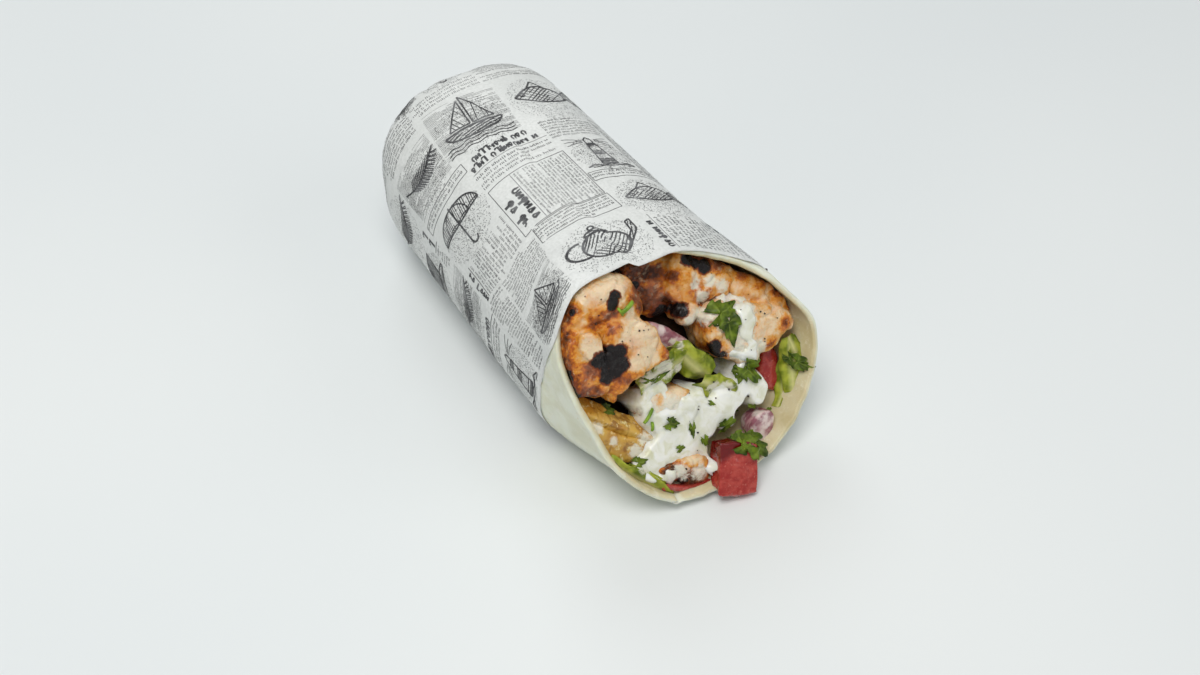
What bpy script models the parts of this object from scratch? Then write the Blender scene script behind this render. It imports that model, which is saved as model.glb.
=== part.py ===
"""Souvlaki pita: a rolled flatbread full of grilled chicken, chips, salad and sauce, in printed paper.

The wrap lies on its side along Y with its open mouth towards -Y. X is across it and Z is up.
Stations run along the wrap, in millimetres: station s lies at y = -s, so larger stations are
nearer the mouth. Angles go round the wrap: 0 is its +X side, 90 the top and 270 the bottom.
What shows in the mouth is placed in the mouth's own leaning plane: u across, v up the slope
from the top of the rim, w out of the mouth.
"""

import math

import bmesh
import bpy
import numpy as np
from mathutils import Vector, noise

MM = 0.001

# The rolled body, measured on the paper's outer skin. It rests on the flat underside.
AXIS_X = -6.5
BACK_STATION, SHOULDER_STATION, FRONT_STATION = -87.5, -63.0, 38.7
BACK_HALF_WIDTH, FRONT_HALF_WIDTH = 35.6, 38.6
BACK_TOP, FRONT_TOP = 67.5, 72.0
BODY_CENTRE, SETTLING = 36.0, 0.4
UPPER_POWER, LOWER_POWER = 2.3, 3.0
END_POWER, END_POWER_UNDER = 2.8, 4.5

# The mouth's outline (x, z), seen along the wrap: square at the upper left, wide at the right.
MOUTH_OUTLINE = (
    (51.8, 33.5), (46.2, 45.8), (32.5, 60), (9.5, 72), (-12, 73.8), (-29, 72.5), (-38.4, 58), (-38.3, 43.5),
    (-35, 31.7), (-30.7, 19.7), (-21.8, 9), (-12, 3.2), (4, 1.9), (19.3, 2.7), (31.6, 7.6), (45, 18.7),
)
MOUTH_LEAN = 29.0
RIM_TOP_STATION, RIM_TOP_HEIGHT = 42.0, 72.0
FLARE_LENGTH = 42.0
RIM_WAVE = 0.4
RIM_DIP, RIM_DIP_ANGLE, RIM_DIP_WIDTH = 2.5, 122.0, 34.0

# The paper's cut front edge as (angle, station), with a step near the top.
PAPER_EDGE = (
    (0, 45.5), (37, 47), (49, 45.1), (58, 44.4), (64, 43.5), (75, 42.6), (89, 43.5), (99, 43.6),
    (102, 40.7), (108, 41), (120, 41.8), (129, 42.8), (135, 44.2), (139, 45.1), (145, 46.3), (150, 46.2),
    (157, 44.5), (164, 42.4), (170.5, 40.7), (184, 38), (195, 37.4), (204, 36.7), (230, 36.5),
    (270, 37), (300, 40), (330, 43.5),
)

# Rings of points along the back end, the sleeve and the bare bread, as shares of each length.
BREAD_END_ROWS = (0.75, 0.45)
PAPER_END_ROWS = (0.97, 0.9, 0.75, 0.45)
BODY_ROWS = (0.0, 0.3, 0.6, 0.8, 1.0)
RIM_ROWS = (0.35, 0.7, 1.0)
CORE_ROWS = (0.0, 0.35, 0.65, 0.82, 0.92, 1.0)

# Sheets and clearances.
PAPER, BREAD = 0.45, 2.2
GAP, SLEEVE_GAP, CORE_GAP, ROOM_GAP = 0.35, 0.55, 0.8, 0.45
EDGE_MARGIN = 1.0
BREAD_SKIN = PAPER + SLEEVE_GAP
BREAD_INSIDE = BREAD_SKIN + BREAD + GAP

# The bread is a spiral. Its inner edge lies at the lower left, on the lap that passes under it
# and ends on the outside. Near the rim the lap stops short and the inner layer covers it.
INNER_EDGE_ANGLE, LAP_ANGLE, RISE_ANGLE = 248.0, 32.0, 48.0
LAP_GAP = 0.5
LAP_SHORTFALL = 12.0
RIM_SINK = 0.15
CORE_DEPTH = 17.0

RING_STEPS = 45
COLOURS = {
    "paper": ((0.83, 0.84, 0.83), 0.62),
    "flatbread": ((0.86, 0.81, 0.69), 0.75),
    "filling": ((0.20, 0.11, 0.06), 0.60),
    "chicken": ((0.68, 0.36, 0.15), 0.50),
    "potato": ((0.78, 0.55, 0.20), 0.55),
    "tomato": ((0.62, 0.08, 0.05), 0.30),
    "onion": ((0.52, 0.28, 0.36), 0.35),
    "lettuce": ((0.42, 0.55, 0.14), 0.45),
    "sauce": ((0.88, 0.88, 0.82), 0.30),
}


def clear_scene():
    for old in list(bpy.data.objects):
        bpy.data.objects.remove(old, do_unlink=True)


def make_collection(name):
    made = bpy.data.collections.new(name)
    bpy.context.scene.collection.children.link(made)
    return made


def make_material(name):
    colour, roughness = COLOURS[name]
    material = bpy.data.materials.new(name)
    material.use_nodes = True
    shader = material.node_tree.nodes["Principled BSDF"]
    shader.inputs["Base Color"].default_value = (*colour, 1.0)
    shader.inputs["Roughness"].default_value = roughness
    shader.inputs["Metallic"].default_value = 0.0
    return material


def smoothstep(value):
    value = min(max(value, 0.0), 1.0)
    return value * value * (3.0 - 2.0 * value)


def mix(a, b, share):
    return a + (b - a) * share


def ring_angles():
    """Once round the wrap, the way the bread is wound, from the bread's inner edge."""
    return [(INNER_EDGE_ANGLE - 360.0 * i / RING_STEPS) % 360.0 for i in range(RING_STEPS)]


# ---------------------------------------------------------------- the rolled body


def closed_curve(points, steps=16):
    """A smooth closed curve through a few points (Catmull-Rom)."""
    count = len(points)
    curve = []
    for i in range(count):
        before, start, end, after = (np.array(points[(i + k) % count]) for k in (-1, 0, 1, 2))
        for t in np.linspace(0.0, 1.0, steps, endpoint=False):
            pull = (end - before) * t + (2 * before - 5 * start + 4 * end - after) * t**2
            curve.append(start + 0.5 * (pull + (3 * start - before - 3 * end + after) * t**3))
    return np.array(curve)


def mouth_reaches():
    """Angle and distance from the axis of every point of the mouth's outline."""
    x, z = (closed_curve(MOUTH_OUTLINE) - (0.0, BODY_CENTRE)).T
    return np.degrees(np.arctan2(z, x)) % 360.0, np.hypot(x, z)


MOUTH_ANGLES, MOUTH_REACHES = mouth_reaches()


def mouth_reach(angle):
    return float(np.interp(angle, MOUTH_ANGLES, MOUTH_REACHES, period=360.0))


def body_reach(station, angle, shrink, shrink_under):
    along = (station - SHOULDER_STATION) / (FRONT_STATION - SHOULDER_STATION)
    across, upward = math.cos(math.radians(angle)), math.sin(math.radians(angle))
    width = mix(BACK_HALF_WIDTH, FRONT_HALF_WIDTH, along) * shrink
    if upward > 0:
        height = (mix(BACK_TOP, FRONT_TOP, along) - BODY_CENTRE) * shrink
        power = UPPER_POWER
    else:
        height = (BODY_CENTRE + SETTLING) * shrink_under
        power = LOWER_POWER
    return (abs(across / width) ** power + abs(upward / height) ** power) ** (-1 / power)


def mouth_station(angle, depth=0.0):
    """Station where the leaning mouth plane, moved in by depth, meets the mouth's outline."""
    lean = math.radians(MOUTH_LEAN)
    height = BODY_CENTRE + mouth_reach(angle) * math.sin(math.radians(angle))
    forward = (RIM_TOP_HEIGHT - height) * math.tan(lean)
    return RIM_TOP_STATION + forward - depth / math.cos(lean)


def skin(station, angle, shrink=1.0, shrink_under=1.0):
    """The paper's outer skin as (x, z) from the axis, before its underside is flattened."""
    flare = smoothstep((station - mouth_station(angle) + FLARE_LENGTH) / FLARE_LENGTH)
    reach = mix(body_reach(station, angle, shrink, shrink_under), mouth_reach(angle), flare)
    turn = math.radians(angle)
    return np.array((reach * math.cos(turn), reach * math.sin(turn)))


def at(station, angle, inset=0.0, **end):
    """The point at a station and an angle, moved in from the paper's outer skin by inset."""
    along = skin(station, angle + 1.0, **end) - skin(station, angle - 1.0, **end)
    inwards = np.array((-along[1], along[0])) / np.hypot(*along)
    x, z = skin(station, angle, **end) + inwards * inset
    return Vector((AXIS_X + x, -station, max(BODY_CENTRE + z, inset))) * MM


def end_row(share):
    """Station and shrinking of a ring on the drawn-in back end, from its shoulder to its tip."""
    return {
        "station": mix(SHOULDER_STATION, BACK_STATION, share),
        "shrink": (1 - share**END_POWER) ** (1 / END_POWER),
        "shrink_under": (1 - share**END_POWER_UNDER) ** (1 / END_POWER_UNDER),
    }


def rim_station(angle):
    """The bread's slightly wavy edge. At the upper left it ends under the paper."""
    turn = math.radians(angle)
    wave = RIM_WAVE * (math.sin(3 * turn + 1) + math.sin(7 * turn))
    dip = RIM_DIP * math.exp(-(((angle - RIM_DIP_ANGLE) / RIM_DIP_WIDTH) ** 4))
    return mouth_station(angle) + wave - dip


def loft(name, rings, ring_closed, start_tip=None, end_tip=None):
    """Mesh through rings of points. A tip is a point that closes the first or last ring."""
    bm = bmesh.new()
    rows = [[bm.verts.new(point) for point in ring] for ring in rings]
    count = len(rows[0])
    pairs = [(i, (i + 1) % count) for i in range(count if ring_closed else count - 1)]
    for near, far in zip(rows, rows[1:]):
        for i, j in pairs:
            bm.faces.new((near[i], near[j], far[j]))
            bm.faces.new((near[i], far[j], far[i]))
    for row, tip in ((rows[0], start_tip), (rows[-1], end_tip)):
        if tip is not None:
            middle = bm.verts.new(tip)
            for i, j in pairs:
                bm.faces.new((row[i], row[j], middle))
    bmesh.ops.recalc_face_normals(bm, faces=bm.faces)
    return from_bmesh(name, bm)


def from_bmesh(name, bm):
    """An object from a bmesh, in triangles, so that neighbours see the same flat facets."""
    bmesh.ops.triangulate(bm, faces=bm.faces)
    mesh = bpy.data.meshes.new(name)
    bm.to_mesh(mesh)
    bm.free()
    mesh.shade_smooth()
    return bpy.data.objects.new(name, mesh)


def face_outwards(obj):
    """Turns an open tube's faces so that they point away from the wrap's axis."""
    bm = bmesh.new()
    bm.from_mesh(obj.data)
    axis = Vector((AXIS_X, 0.0, BODY_CENTRE)) * MM
    outward = 0.0
    for face in bm.faces:
        spoke = (face.calc_center_median() - axis) * Vector((1.0, 0.0, 1.0))
        outward += face.normal.dot(spoke)
    if outward < 0:
        bmesh.ops.reverse_faces(bm, faces=bm.faces)
    bm.to_mesh(obj.data)
    bm.free()


def add_wall(obj, thickness, offset=-1.0):
    """Thickens an open sheet, inwards from its surface or, with offset 0, to both sides."""
    wall = obj.modifiers.new("wall", "SOLIDIFY")
    wall.thickness = thickness * MM
    wall.offset = offset
    wall.use_even_offset = True


def paper_edge(angle):
    """Station of the paper's front edge."""
    angles, stations = zip(*PAPER_EDGE)
    return float(np.interp(angle, angles, stations, period=360.0))


def sleeve_station(share, angle):
    """Stations where paper and bread share their rings, from the shoulder to the shorter edge."""
    end = min(paper_edge(angle), rim_station(angle)) - EDGE_MARGIN
    return mix(SHOULDER_STATION, end, share)


def sink(wound):
    """How far, from 0 to 1, the sheet lies under its own outer lap, wound degrees from its start."""
    return 1.0 - smoothstep((wound - LAP_ANGLE) / RISE_ANGLE)


def make_flatbread():
    """The rolled bread: one sheet wound once round the filling and a little over its own start."""
    turn_end = 360.0 + LAP_ANGLE
    steps = round(RING_STEPS * turn_end / 360.0)
    wounds = [turn_end * i / steps for i in range(steps + 1)]
    angles = [(INNER_EDGE_ANGLE - wound) % 360.0 for wound in wounds]
    sunk = [BREAD_SKIN + sink(wound) * (BREAD + LAP_GAP) for wound in wounds]
    at_rim = [BREAD_SKIN + RIM_SINK * sink(wound) * (BREAD + LAP_GAP) for wound in wounds]
    short = [LAP_SHORTFALL * smoothstep((wound - 360.0) / LAP_ANGLE * 2.0) for wound in wounds]
    rings = []
    for share in BREAD_END_ROWS:
        rings.append([at(angle=a, inset=inset, **end_row(share)) for a, inset in zip(angles, sunk)])
    for share in BODY_ROWS:
        rings.append([at(sleeve_station(share, a), a, inset) for a, inset in zip(angles, sunk)])
    for share in RIM_ROWS:
        insets = at_rim if share == RIM_ROWS[-1] else sunk
        ring = []
        for angle, inset, shortfall in zip(angles, insets, short):
            start = sleeve_station(1.0, angle)
            station = mix(start, rim_station(angle) - shortfall, share)
            ring.append(at(station, angle, inset))
        rings.append(ring)
    bread = loft("flatbread", rings, ring_closed=False)
    face_outwards(bread)
    add_wall(bread, BREAD)
    return bread


def make_paper():
    """The paper sleeve: open at the mouth, drawn in and closed over the back end."""
    rings = [[at(angle=a, **end_row(share)) for a in ring_angles()] for share in PAPER_END_ROWS]
    rings += [[at(sleeve_station(share, a), a) for a in ring_angles()] for share in BODY_ROWS]
    rings.append([at(paper_edge(a), a) for a in ring_angles()])
    tip = Vector((AXIS_X, -BACK_STATION, BODY_CENTRE)) * MM
    paper = loft("paper_wrap", rings, ring_closed=True, start_tip=tip)
    face_outwards(paper)
    add_wall(paper, PAPER)
    return paper


def inner_inset(angle, sunk=1.0):
    """Inset of the bread's inner face, deeper where the sheet lies doubled."""
    wound = (INNER_EDGE_ANGLE - angle) % 360.0
    before_start = smoothstep((wound - 360.0 + 16.0) / 16.0)
    return BREAD_INSIDE + sunk * (BREAD + LAP_GAP) * max(sink(wound), before_start)


def capped_tube(name, rings):
    tips = [sum(ring, Vector()) / len(ring) for ring in (rings[0], rings[-1])]
    return loft(name, rings, ring_closed=True, start_tip=tips[0], end_tip=tips[1])


def make_core():
    """The packed filling inside the roll, up to a face set back from the mouth."""
    insets = [inner_inset(angle) + CORE_GAP for angle in ring_angles()]
    ends = list(zip(ring_angles(), insets))
    rings = [[at(angle=a, inset=inset, **end_row(share)) for a, inset in ends] for share in BREAD_END_ROWS]
    for share in CORE_ROWS:
        fronts = [mouth_station(angle, CORE_DEPTH) for angle in ring_angles()]
        stations = [mix(SHOULDER_STATION, front, share) for front in fronts]
        rings.append([at(s, a, inset) for s, (a, inset) in zip(stations, ends)])
    return capped_tube("filling_core", rings)


def make_room():
    """The space for what shows in the mouth: ahead of the core and inside the bread's rim."""
    start = (CORE_GAP - CORE_DEPTH) / math.cos(math.radians(MOUTH_LEAN))
    past_rim, spill = 2.5, 10.0
    rows = (
        (start, 1.0, 0.0),
        (start / 2, 1.0, 0.0),
        (past_rim, RIM_SINK, 0.0),
        (past_rim + spill, RIM_SINK, spill),
    )
    rings = []
    for ahead, sunk, spread in rows:
        ring = []
        for angle in ring_angles():
            inset = inner_inset(angle, sunk) + ROOM_GAP - spread
            ring.append(at(mouth_station(angle) + ahead, angle, inset))
        rings.append(ring)
    return capped_tube("room", rings)


# ---------------------------------------------------------------- what shows in the mouth


def make_mouth():
    """Empty in the mouth's leaning plane, at the top of the rim, with Z out of the mouth."""
    mouth = bpy.data.objects.new("mouth", None)
    mouth.location = Vector((AXIS_X, -RIM_TOP_STATION, RIM_TOP_HEIGHT)) * MM
    mouth.rotation_euler = (math.radians(90.0 - MOUTH_LEAN), 0.0, 0.0)
    return mouth


def lump(name, half_size, roundness, lumps, seed, cuts=3):
    """A rounded, uneven block: a subdivided cube drawn towards a ball and pushed by noise."""
    bm = bmesh.new()
    bmesh.ops.create_cube(bm, size=2.0)
    bmesh.ops.subdivide_edges(bm, edges=bm.edges, cuts=cuts, use_grid_fill=True)
    for vert in bm.verts:
        ball = vert.co.normalized() * 1.2
        point = vert.co.lerp(ball, roundness)
        push = noise.noise(point * 1.4 + Vector((seed, 2.0 * seed, 5.0)))
        point += vert.co.normalized() * lumps * push
        vert.co = point * Vector(half_size) * MM
    return from_bmesh(name, bm)


def bar(name, half_size, bow, seed):
    """A chip: a long square bar with softened edges, slightly bowed."""
    made = lump(name, half_size, 0.15, 0.08, seed, cuts=2)
    for vert in made.data.vertices:
        share = vert.co.x / (half_size[0] * MM)
        vert.co.y += bow * MM * (1.0 - share * share)
    return made


def leaf(name, size, ruffle, curl, seed):
    """A crumpled leaf piece: a sheet with a ruffled edge, curled across its length."""
    length, width, thickness = size
    bm = bmesh.new()
    bmesh.ops.create_grid(bm, x_segments=8, y_segments=4, size=0.5)
    for vert in bm.verts:
        along, across = vert.co.x * 2.0, vert.co.y * 2.0
        trim = math.sqrt(1.0 - 0.55 * along * along)
        wave = math.sin(math.tau * along + seed) * ruffle * abs(across)
        dome = curl * (1.0 - across * across)
        flat = (along * length / 2, across * trim * width / 2, wave + dome)
        vert.co = Vector(flat) * MM
    made = from_bmesh(name, bm)
    add_wall(made, thickness, offset=0.0)
    return made


def drops(name, elements, flatness):
    """Flattened drops that flow together, each from (u, v, w, radius) in the mouth's plane."""
    pool = bpy.data.metaballs.new(name)
    pool.resolution = 7.0 * MM
    pool.threshold = 0.35
    for u, v, w, radius in elements:
        drop = pool.elements.new(type="ELLIPSOID")
        drop.co = Vector((u, v, w)) * MM
        drop.radius = 1.5 * radius * MM
        drop.size_x, drop.size_y, drop.size_z = 1.0, 1.0, flatness
    return bpy.data.objects.new(name, pool)


SAUCE_DROPS = (
    (-14, -42, -5.0, 8), (-4, -44, -2.5, 10), (3, -50, -3.0, 9), (14, -53, -5.0, 10),
    (24, -57, -4.5, 9), (1, -60, -5.0, 11), (-9, -58, -6.5, 10), (-5, -67, -4.5, 9),
    (4, -73, -1.8, 8), (-14, -66, -6.0, 7), (22, -45, -4.0, 6),
)


def make_fillings():
    """Every piece in the mouth, in the order in which they keep their shape where they meet.

    Each piece comes with its material, its centre (u, v, w) and its turn about u, v and w.
    """
    return (
        (lump("tomato_front", (6.6, 8.4, 3.6), 0.12, 0.10, 6.1),
         "tomato", (10, -74.6, 1.8), (-4, -6, -22)),
        (lump("chicken_left", (16.5, 18.5, 12.5), 0.45, 0.30, 3.1),
         "chicken", (-19.5, -17.5, -9.0), (0, 6, 14)),
        (leaf("lettuce_right", (25, 14, 2.4), 1.2, 2.0, 1.7),
         "lettuce", (40.5, -57, -8.5), (-46, 0, 80)),
        (lump("chicken_right", (17.5, 12.5, 12.0), 0.35, 0.24, 9.2),
         "chicken", (30.5, -33, -13.5), (0, 6, -26)),
        (lump("chicken_top", (19.5, 11.5, 13.0), 0.42, 0.28, 1.3),
         "chicken", (12, -13, -19.5), (0, 0, -24)),
        (lump("chicken_middle", (13.0, 9.5, 8.5), 0.40, 0.22, 4.4),
         "chicken", (-6, -44.5, -12.0), (0, 6, -20)),
        (bar("fry_upper", (17.0, 4.0, 4.0), 0.6, 2.2),
         "potato", (-22.5, -47.5, -8.5), (0, 4, -39)),
        (bar("fry_lower", (14.0, 3.8, 3.8), -0.5, 5.9),
         "potato", (-23.0, -57, -10.0), (0, 4, -41)),
        (lump("onion_right", (4.4, 5.0, 4.0), 0.35, 0.12, 1.9),
         "onion", (25.5, -68, -6.5), (0, 0, 10)),
        (lump("tomato_right", (4.2, 7.4, 6.0), 0.25, 0.12, 8.8),
         "tomato", (35.0, -54, -13.5), (0, 0, 8)),
        (leaf("lettuce_centre", (26, 14, 2.4), 2.0, 3.0, 0.4),
         "lettuce", (9, -46.5, -7.0), (0, 0, -36)),
        (leaf("lettuce_left", (28, 12, 2.4), 1.2, 2.0, 2.6),
         "lettuce", (-22.0, -65.5, -3.5), (30, 0, -42)),
        (lump("onion_centre", (7.5, 6.0, 3.5), 0.35, 0.12, 5.3),
         "onion", (3.5, -29, -12.5), (0, 8, -30)),
        (lump("tomato_strip", (8.0, 1.7, 3.2), 0.25, 0.10, 2.9),
         "tomato", (-7.5, -73.6, -1.5), (0, -30, -22)),
        (lump("chicken_low", (9.0, 4.5, 5.5), 0.40, 0.22, 5.6),
         "chicken", (-5.0, -70.0, -5.0), (0, 0, -20)),
        (drops("sauce", SAUCE_DROPS, 0.45),
         "sauce", (0, 0, 0), (0, 0, 0)),
    )


def place(obj, mouth, centre, turn):
    obj.parent = mouth
    obj.location = Vector(centre) * MM
    obj.rotation_euler = [math.radians(angle) for angle in turn]


def split_into_triangles(mesh):
    bm = bmesh.new()
    bm.from_mesh(mesh)
    bmesh.ops.triangulate(bm, faces=bm.faces)
    bm.to_mesh(mesh)
    bm.free()


def as_mesh_object(obj):
    """Turns the object's modifiers, or its drops, into a plain mesh, in the same place."""
    graph = bpy.context.evaluated_depsgraph_get()
    mesh = bpy.data.meshes.new_from_object(obj.evaluated_get(graph))
    if obj.type == "MESH":
        obj.modifiers.clear()
        obj.data = mesh
        return obj
    split_into_triangles(mesh)
    name, place_in_world, home = obj.name, obj.matrix_world.copy(), obj.users_collection[0]
    bpy.data.objects.remove(obj, do_unlink=True)
    made = bpy.data.objects.new(name, mesh)
    made.matrix_world = place_in_world
    home.objects.link(made)
    return made


def grown(obj, helpers):
    """A helper that holds a piece's whole shape and the clearance round it."""
    helper = bpy.data.objects.new(obj.name + "_room", obj.data.copy())
    helper.matrix_world = obj.matrix_world
    moves = [vert.normal * GAP * MM for vert in helper.data.vertices]
    for vert, move in zip(helper.data.vertices, moves):
        vert.co += move
    make_helper(helper, helpers)
    return helper


def make_helper(obj, helpers):
    obj.hide_render = True
    obj.display_type = "WIRE"
    helpers.objects.link(obj)


def cut(obj, tool, operation):
    """The pieces are packed so tightly that EXACT drops parts of them, and MANIFOLD doesn't."""
    modifier = obj.modifiers.new(tool.name, "BOOLEAN")
    modifier.operation = operation
    modifier.solver = "MANIFOLD"
    modifier.object = tool
    bpy.context.view_layer.update()
    as_mesh_object(obj)


def world_box(obj):
    corners = np.array([obj.matrix_world @ vert.co for vert in obj.data.vertices])
    return corners.min(0), corners.max(0)


def boxes_meet(a, b):
    low_a, high_a = world_box(a)
    low_b, high_b = world_box(b)
    return bool((low_a < high_b).all() and (low_b < high_a).all())


def keep_largest(mesh):
    """Deletes the crumbs that a cut left, all but the part with the most vertices."""
    bm = bmesh.new()
    bm.from_mesh(mesh)
    unseen, parts = set(bm.verts), []
    while unseen:
        part, front = set(), [unseen.pop()]
        while front:
            vert = front.pop()
            part.add(vert)
            others = {edge.other_vert(vert) for edge in vert.link_edges} & unseen
            unseen -= others
            front.extend(others)
        parts.append(part)
    parts.sort(key=len)
    crumbs = [vert for part in parts[:-1] for vert in part]
    bmesh.ops.delete(bm, geom=crumbs, context="VERTS")
    bm.to_mesh(mesh)
    bm.free()
    mesh.shade_smooth()


def main():
    clear_scene()
    parts = make_collection("souvlaki_pita")
    helpers = make_collection("helpers")
    materials = {name: make_material(name) for name in COLOURS}

    rolled = (
        (make_paper(), "paper"),
        (make_flatbread(), "flatbread"),
        (make_core(), "filling"),
    )
    for obj, material in rolled:
        parts.objects.link(obj)
        obj.data.materials.append(materials[material])

    mouth = make_mouth()
    helpers.objects.link(mouth)
    fillings = make_fillings()
    for obj, _, centre, turn in fillings:
        parts.objects.link(obj)
        place(obj, mouth, centre, turn)
    room = make_room()
    make_helper(room, helpers)
    bpy.context.view_layer.update()
    taken = []
    for obj, material, _, _ in fillings:
        piece = as_mesh_object(obj)
        whole = grown(piece, helpers)
        cut(piece, room, "INTERSECT")
        for other in taken:
            if boxes_meet(piece, other):
                cut(piece, other, "DIFFERENCE")
        keep_largest(piece.data)
        piece.data.materials.clear()
        piece.data.materials.append(materials[material])
        taken.append(whole)


main()
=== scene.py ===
"""Looks of the souvlaki pita: printed paper, rolled bread, grilled chicken, salad, sauce and herbs.

Lengths are in millimetres until a mesh is made. The wrap lies along Y with its mouth towards -Y.
Stations run along it (station s is at y = -s) and angles round it (0 is +X, 90 the top). What
shows in the mouth is placed in the mouth's leaning plane: u across, v up the slope, w out of it.
"""

import math
import random

import bmesh
import bpy
import numpy as np
from mathutils import Euler, Matrix, Vector, noise
from mathutils.bvhtree import BVHTree


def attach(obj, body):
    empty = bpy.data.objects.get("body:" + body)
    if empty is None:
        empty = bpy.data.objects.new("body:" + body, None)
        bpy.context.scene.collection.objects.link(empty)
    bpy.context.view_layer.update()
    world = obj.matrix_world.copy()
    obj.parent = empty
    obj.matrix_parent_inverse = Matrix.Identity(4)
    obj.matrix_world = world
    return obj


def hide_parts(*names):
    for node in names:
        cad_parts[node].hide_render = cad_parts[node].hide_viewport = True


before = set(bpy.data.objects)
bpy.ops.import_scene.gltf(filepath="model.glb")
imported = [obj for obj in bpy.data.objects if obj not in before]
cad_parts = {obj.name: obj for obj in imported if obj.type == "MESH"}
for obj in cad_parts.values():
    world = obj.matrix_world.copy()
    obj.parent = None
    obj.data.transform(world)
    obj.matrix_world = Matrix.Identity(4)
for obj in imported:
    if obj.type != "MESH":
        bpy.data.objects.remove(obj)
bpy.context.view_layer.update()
MM = 0.001

# The rolled body, as in the construction.
AXIS_X = -6.5
BACK_STATION, SHOULDER_STATION, FRONT_STATION = -87.5, -63.0, 38.7
BACK_HALF_WIDTH, FRONT_HALF_WIDTH = 35.6, 38.6
BACK_TOP, FRONT_TOP = 67.5, 72.0
BODY_CENTRE, SETTLING = 36.0, 0.4
UPPER_POWER, LOWER_POWER = 2.3, 3.0
END_POWER, END_POWER_UNDER = 2.8, 4.5
MOUTH_OUTLINE = (
    # x, z
    (51.8, 33.5), (46.2, 45.8), (32.5, 60), (9.5, 72), (-12, 73.8), (-29, 72.5), (-38.4, 58),
    (-38.3, 43.5), (-35, 31.7), (-30.7, 19.7), (-21.8, 9), (-12, 3.2), (4, 1.9), (19.3, 2.7),
    (31.6, 7.6), (45, 18.7),
)
MOUTH_LEAN = 29.0
RIM_TOP_STATION, RIM_TOP_HEIGHT = 42.0, 72.0
FLARE_LENGTH = 42.0
RIM_WAVE = 0.4
RIM_DIP, RIM_DIP_ANGLE, RIM_DIP_WIDTH = 2.5, 122.0, 34.0
PAPER_EDGE = (
    # angle, station
    (0, 45.5), (37, 47), (49, 45.1), (58, 44.4), (64, 43.5), (75, 42.6), (89, 43.5), (100, 43.6),
    (101.4, 40.7), (108, 41), (120, 41.8), (129, 42.8), (135, 44.2), (139, 45.1), (145, 46.3),
    (150, 46.2), (157, 44.5), (164, 42.4), (170.5, 40.7), (184, 38), (195, 37.4), (204, 36.7),
    (230, 36.5), (270, 37), (300, 40), (330, 43.5),
)
INNER_EDGE_ANGLE, LAP_ANGLE = 248.0, 32.0
LAP_SHORTFALL = 12.0
CORE_DEPTH = 17.0

# The sheets as they look: the bread lies close under the paper.
BREAD, BREAD_INSET, BREAD_LAP_GAP = 2.1, 0.45, 0.25
PAPER, PAPER_LAP, PAPER_LAP_GAP = 0.14, 45.0, 0.3
PAPER_START_ANGLE = 20.0
EDGE_ROUNDING, LAP_TAPER = 1.1, 9.0
BREAD_UNDER_PAPER = 12.0
BREAD_COLUMN_STEP = 1.25
HIDDEN_ROWS, SHOWN_ROWS, RIM_ROWS, RIM_SHARE = 8, 44, 12, 0.93
CORE_INSET, CORE_LAP_INSET, CORE_LAP_FADE = 4.4, 2.4, 48.0
FLOOR_CLEARANCE, BREAD_CLEARANCE = 0.3, 0.15


# ------------------------------------------------------------------ numbers


def smooth(value):
    value = np.clip(value, 0.0, 1.0)
    return value * value * (3.0 - 2.0 * value)


def mix(a, b, share):
    return a + (b - a) * share


def noise_at(points, size, seed=0.0):
    """Smooth noise from -1 to 1 at each point, with features of about the given size."""
    flat = np.asarray(points, float).reshape(-1, 3) / size + seed
    values = [noise.noise(Vector(point)) for point in flat]
    return np.array(values).reshape(np.asarray(points).shape[:-1])


def ridges_at(points, size, seed, sharpness):
    """Ridges that rise to 1 where smooth noise passes through nought."""
    return (1.0 - np.abs(noise_at(points, size, seed))) ** sharpness


def cloud_at(points, size, octaves, seed):
    """Noise of several sizes, each half of the one before."""
    total = sum(noise_at(points, size / 2**k, seed + 7.3 * k) / 2**k for k in range(octaves))
    return total / sum(1 / 2**k for k in range(octaves))


# ------------------------------------------------------------------ the rolled body


def closed_curve(points, steps=16):
    """A smooth closed curve through a few points (Catmull-Rom)."""
    count = len(points)
    curve = []
    for i in range(count):
        before, start, end, after = (np.array(points[(i + k) % count]) for k in (-1, 0, 1, 2))
        for t in np.linspace(0.0, 1.0, steps, endpoint=False):
            pull = (end - before) * t + (2 * before - 5 * start + 4 * end - after) * t**2
            curve.append(start + 0.5 * (pull + (3 * start - before - 3 * end + after) * t**3))
    return np.array(curve)


def mouth_reaches():
    """Angle and distance from the axis of every point of the mouth's outline."""
    x, z = (closed_curve(MOUTH_OUTLINE) - (0.0, BODY_CENTRE)).T
    return np.degrees(np.arctan2(z, x)) % 360.0, np.hypot(x, z)


MOUTH_ANGLES, MOUTH_REACHES = mouth_reaches()


def mouth_reach(angle):
    return np.interp(angle % 360.0, MOUTH_ANGLES, MOUTH_REACHES, period=360.0)


def body_reach(station, angle, shrink, shrink_under):
    """Distance from the axis to the skin of the round body, away from the flaring mouth."""
    along = (station - SHOULDER_STATION) / (FRONT_STATION - SHOULDER_STATION)
    across, upward = np.cos(np.radians(angle)), np.sin(np.radians(angle))
    width = mix(BACK_HALF_WIDTH, FRONT_HALF_WIDTH, along) * shrink
    top = (mix(BACK_TOP, FRONT_TOP, along) - BODY_CENTRE) * shrink
    under = (BODY_CENTRE + SETTLING) * shrink_under
    height = np.where(upward > 0, top, under)
    power = np.where(upward > 0, UPPER_POWER, LOWER_POWER)
    return (np.abs(across / width) ** power + np.abs(upward / height) ** power) ** (-1 / power)


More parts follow.
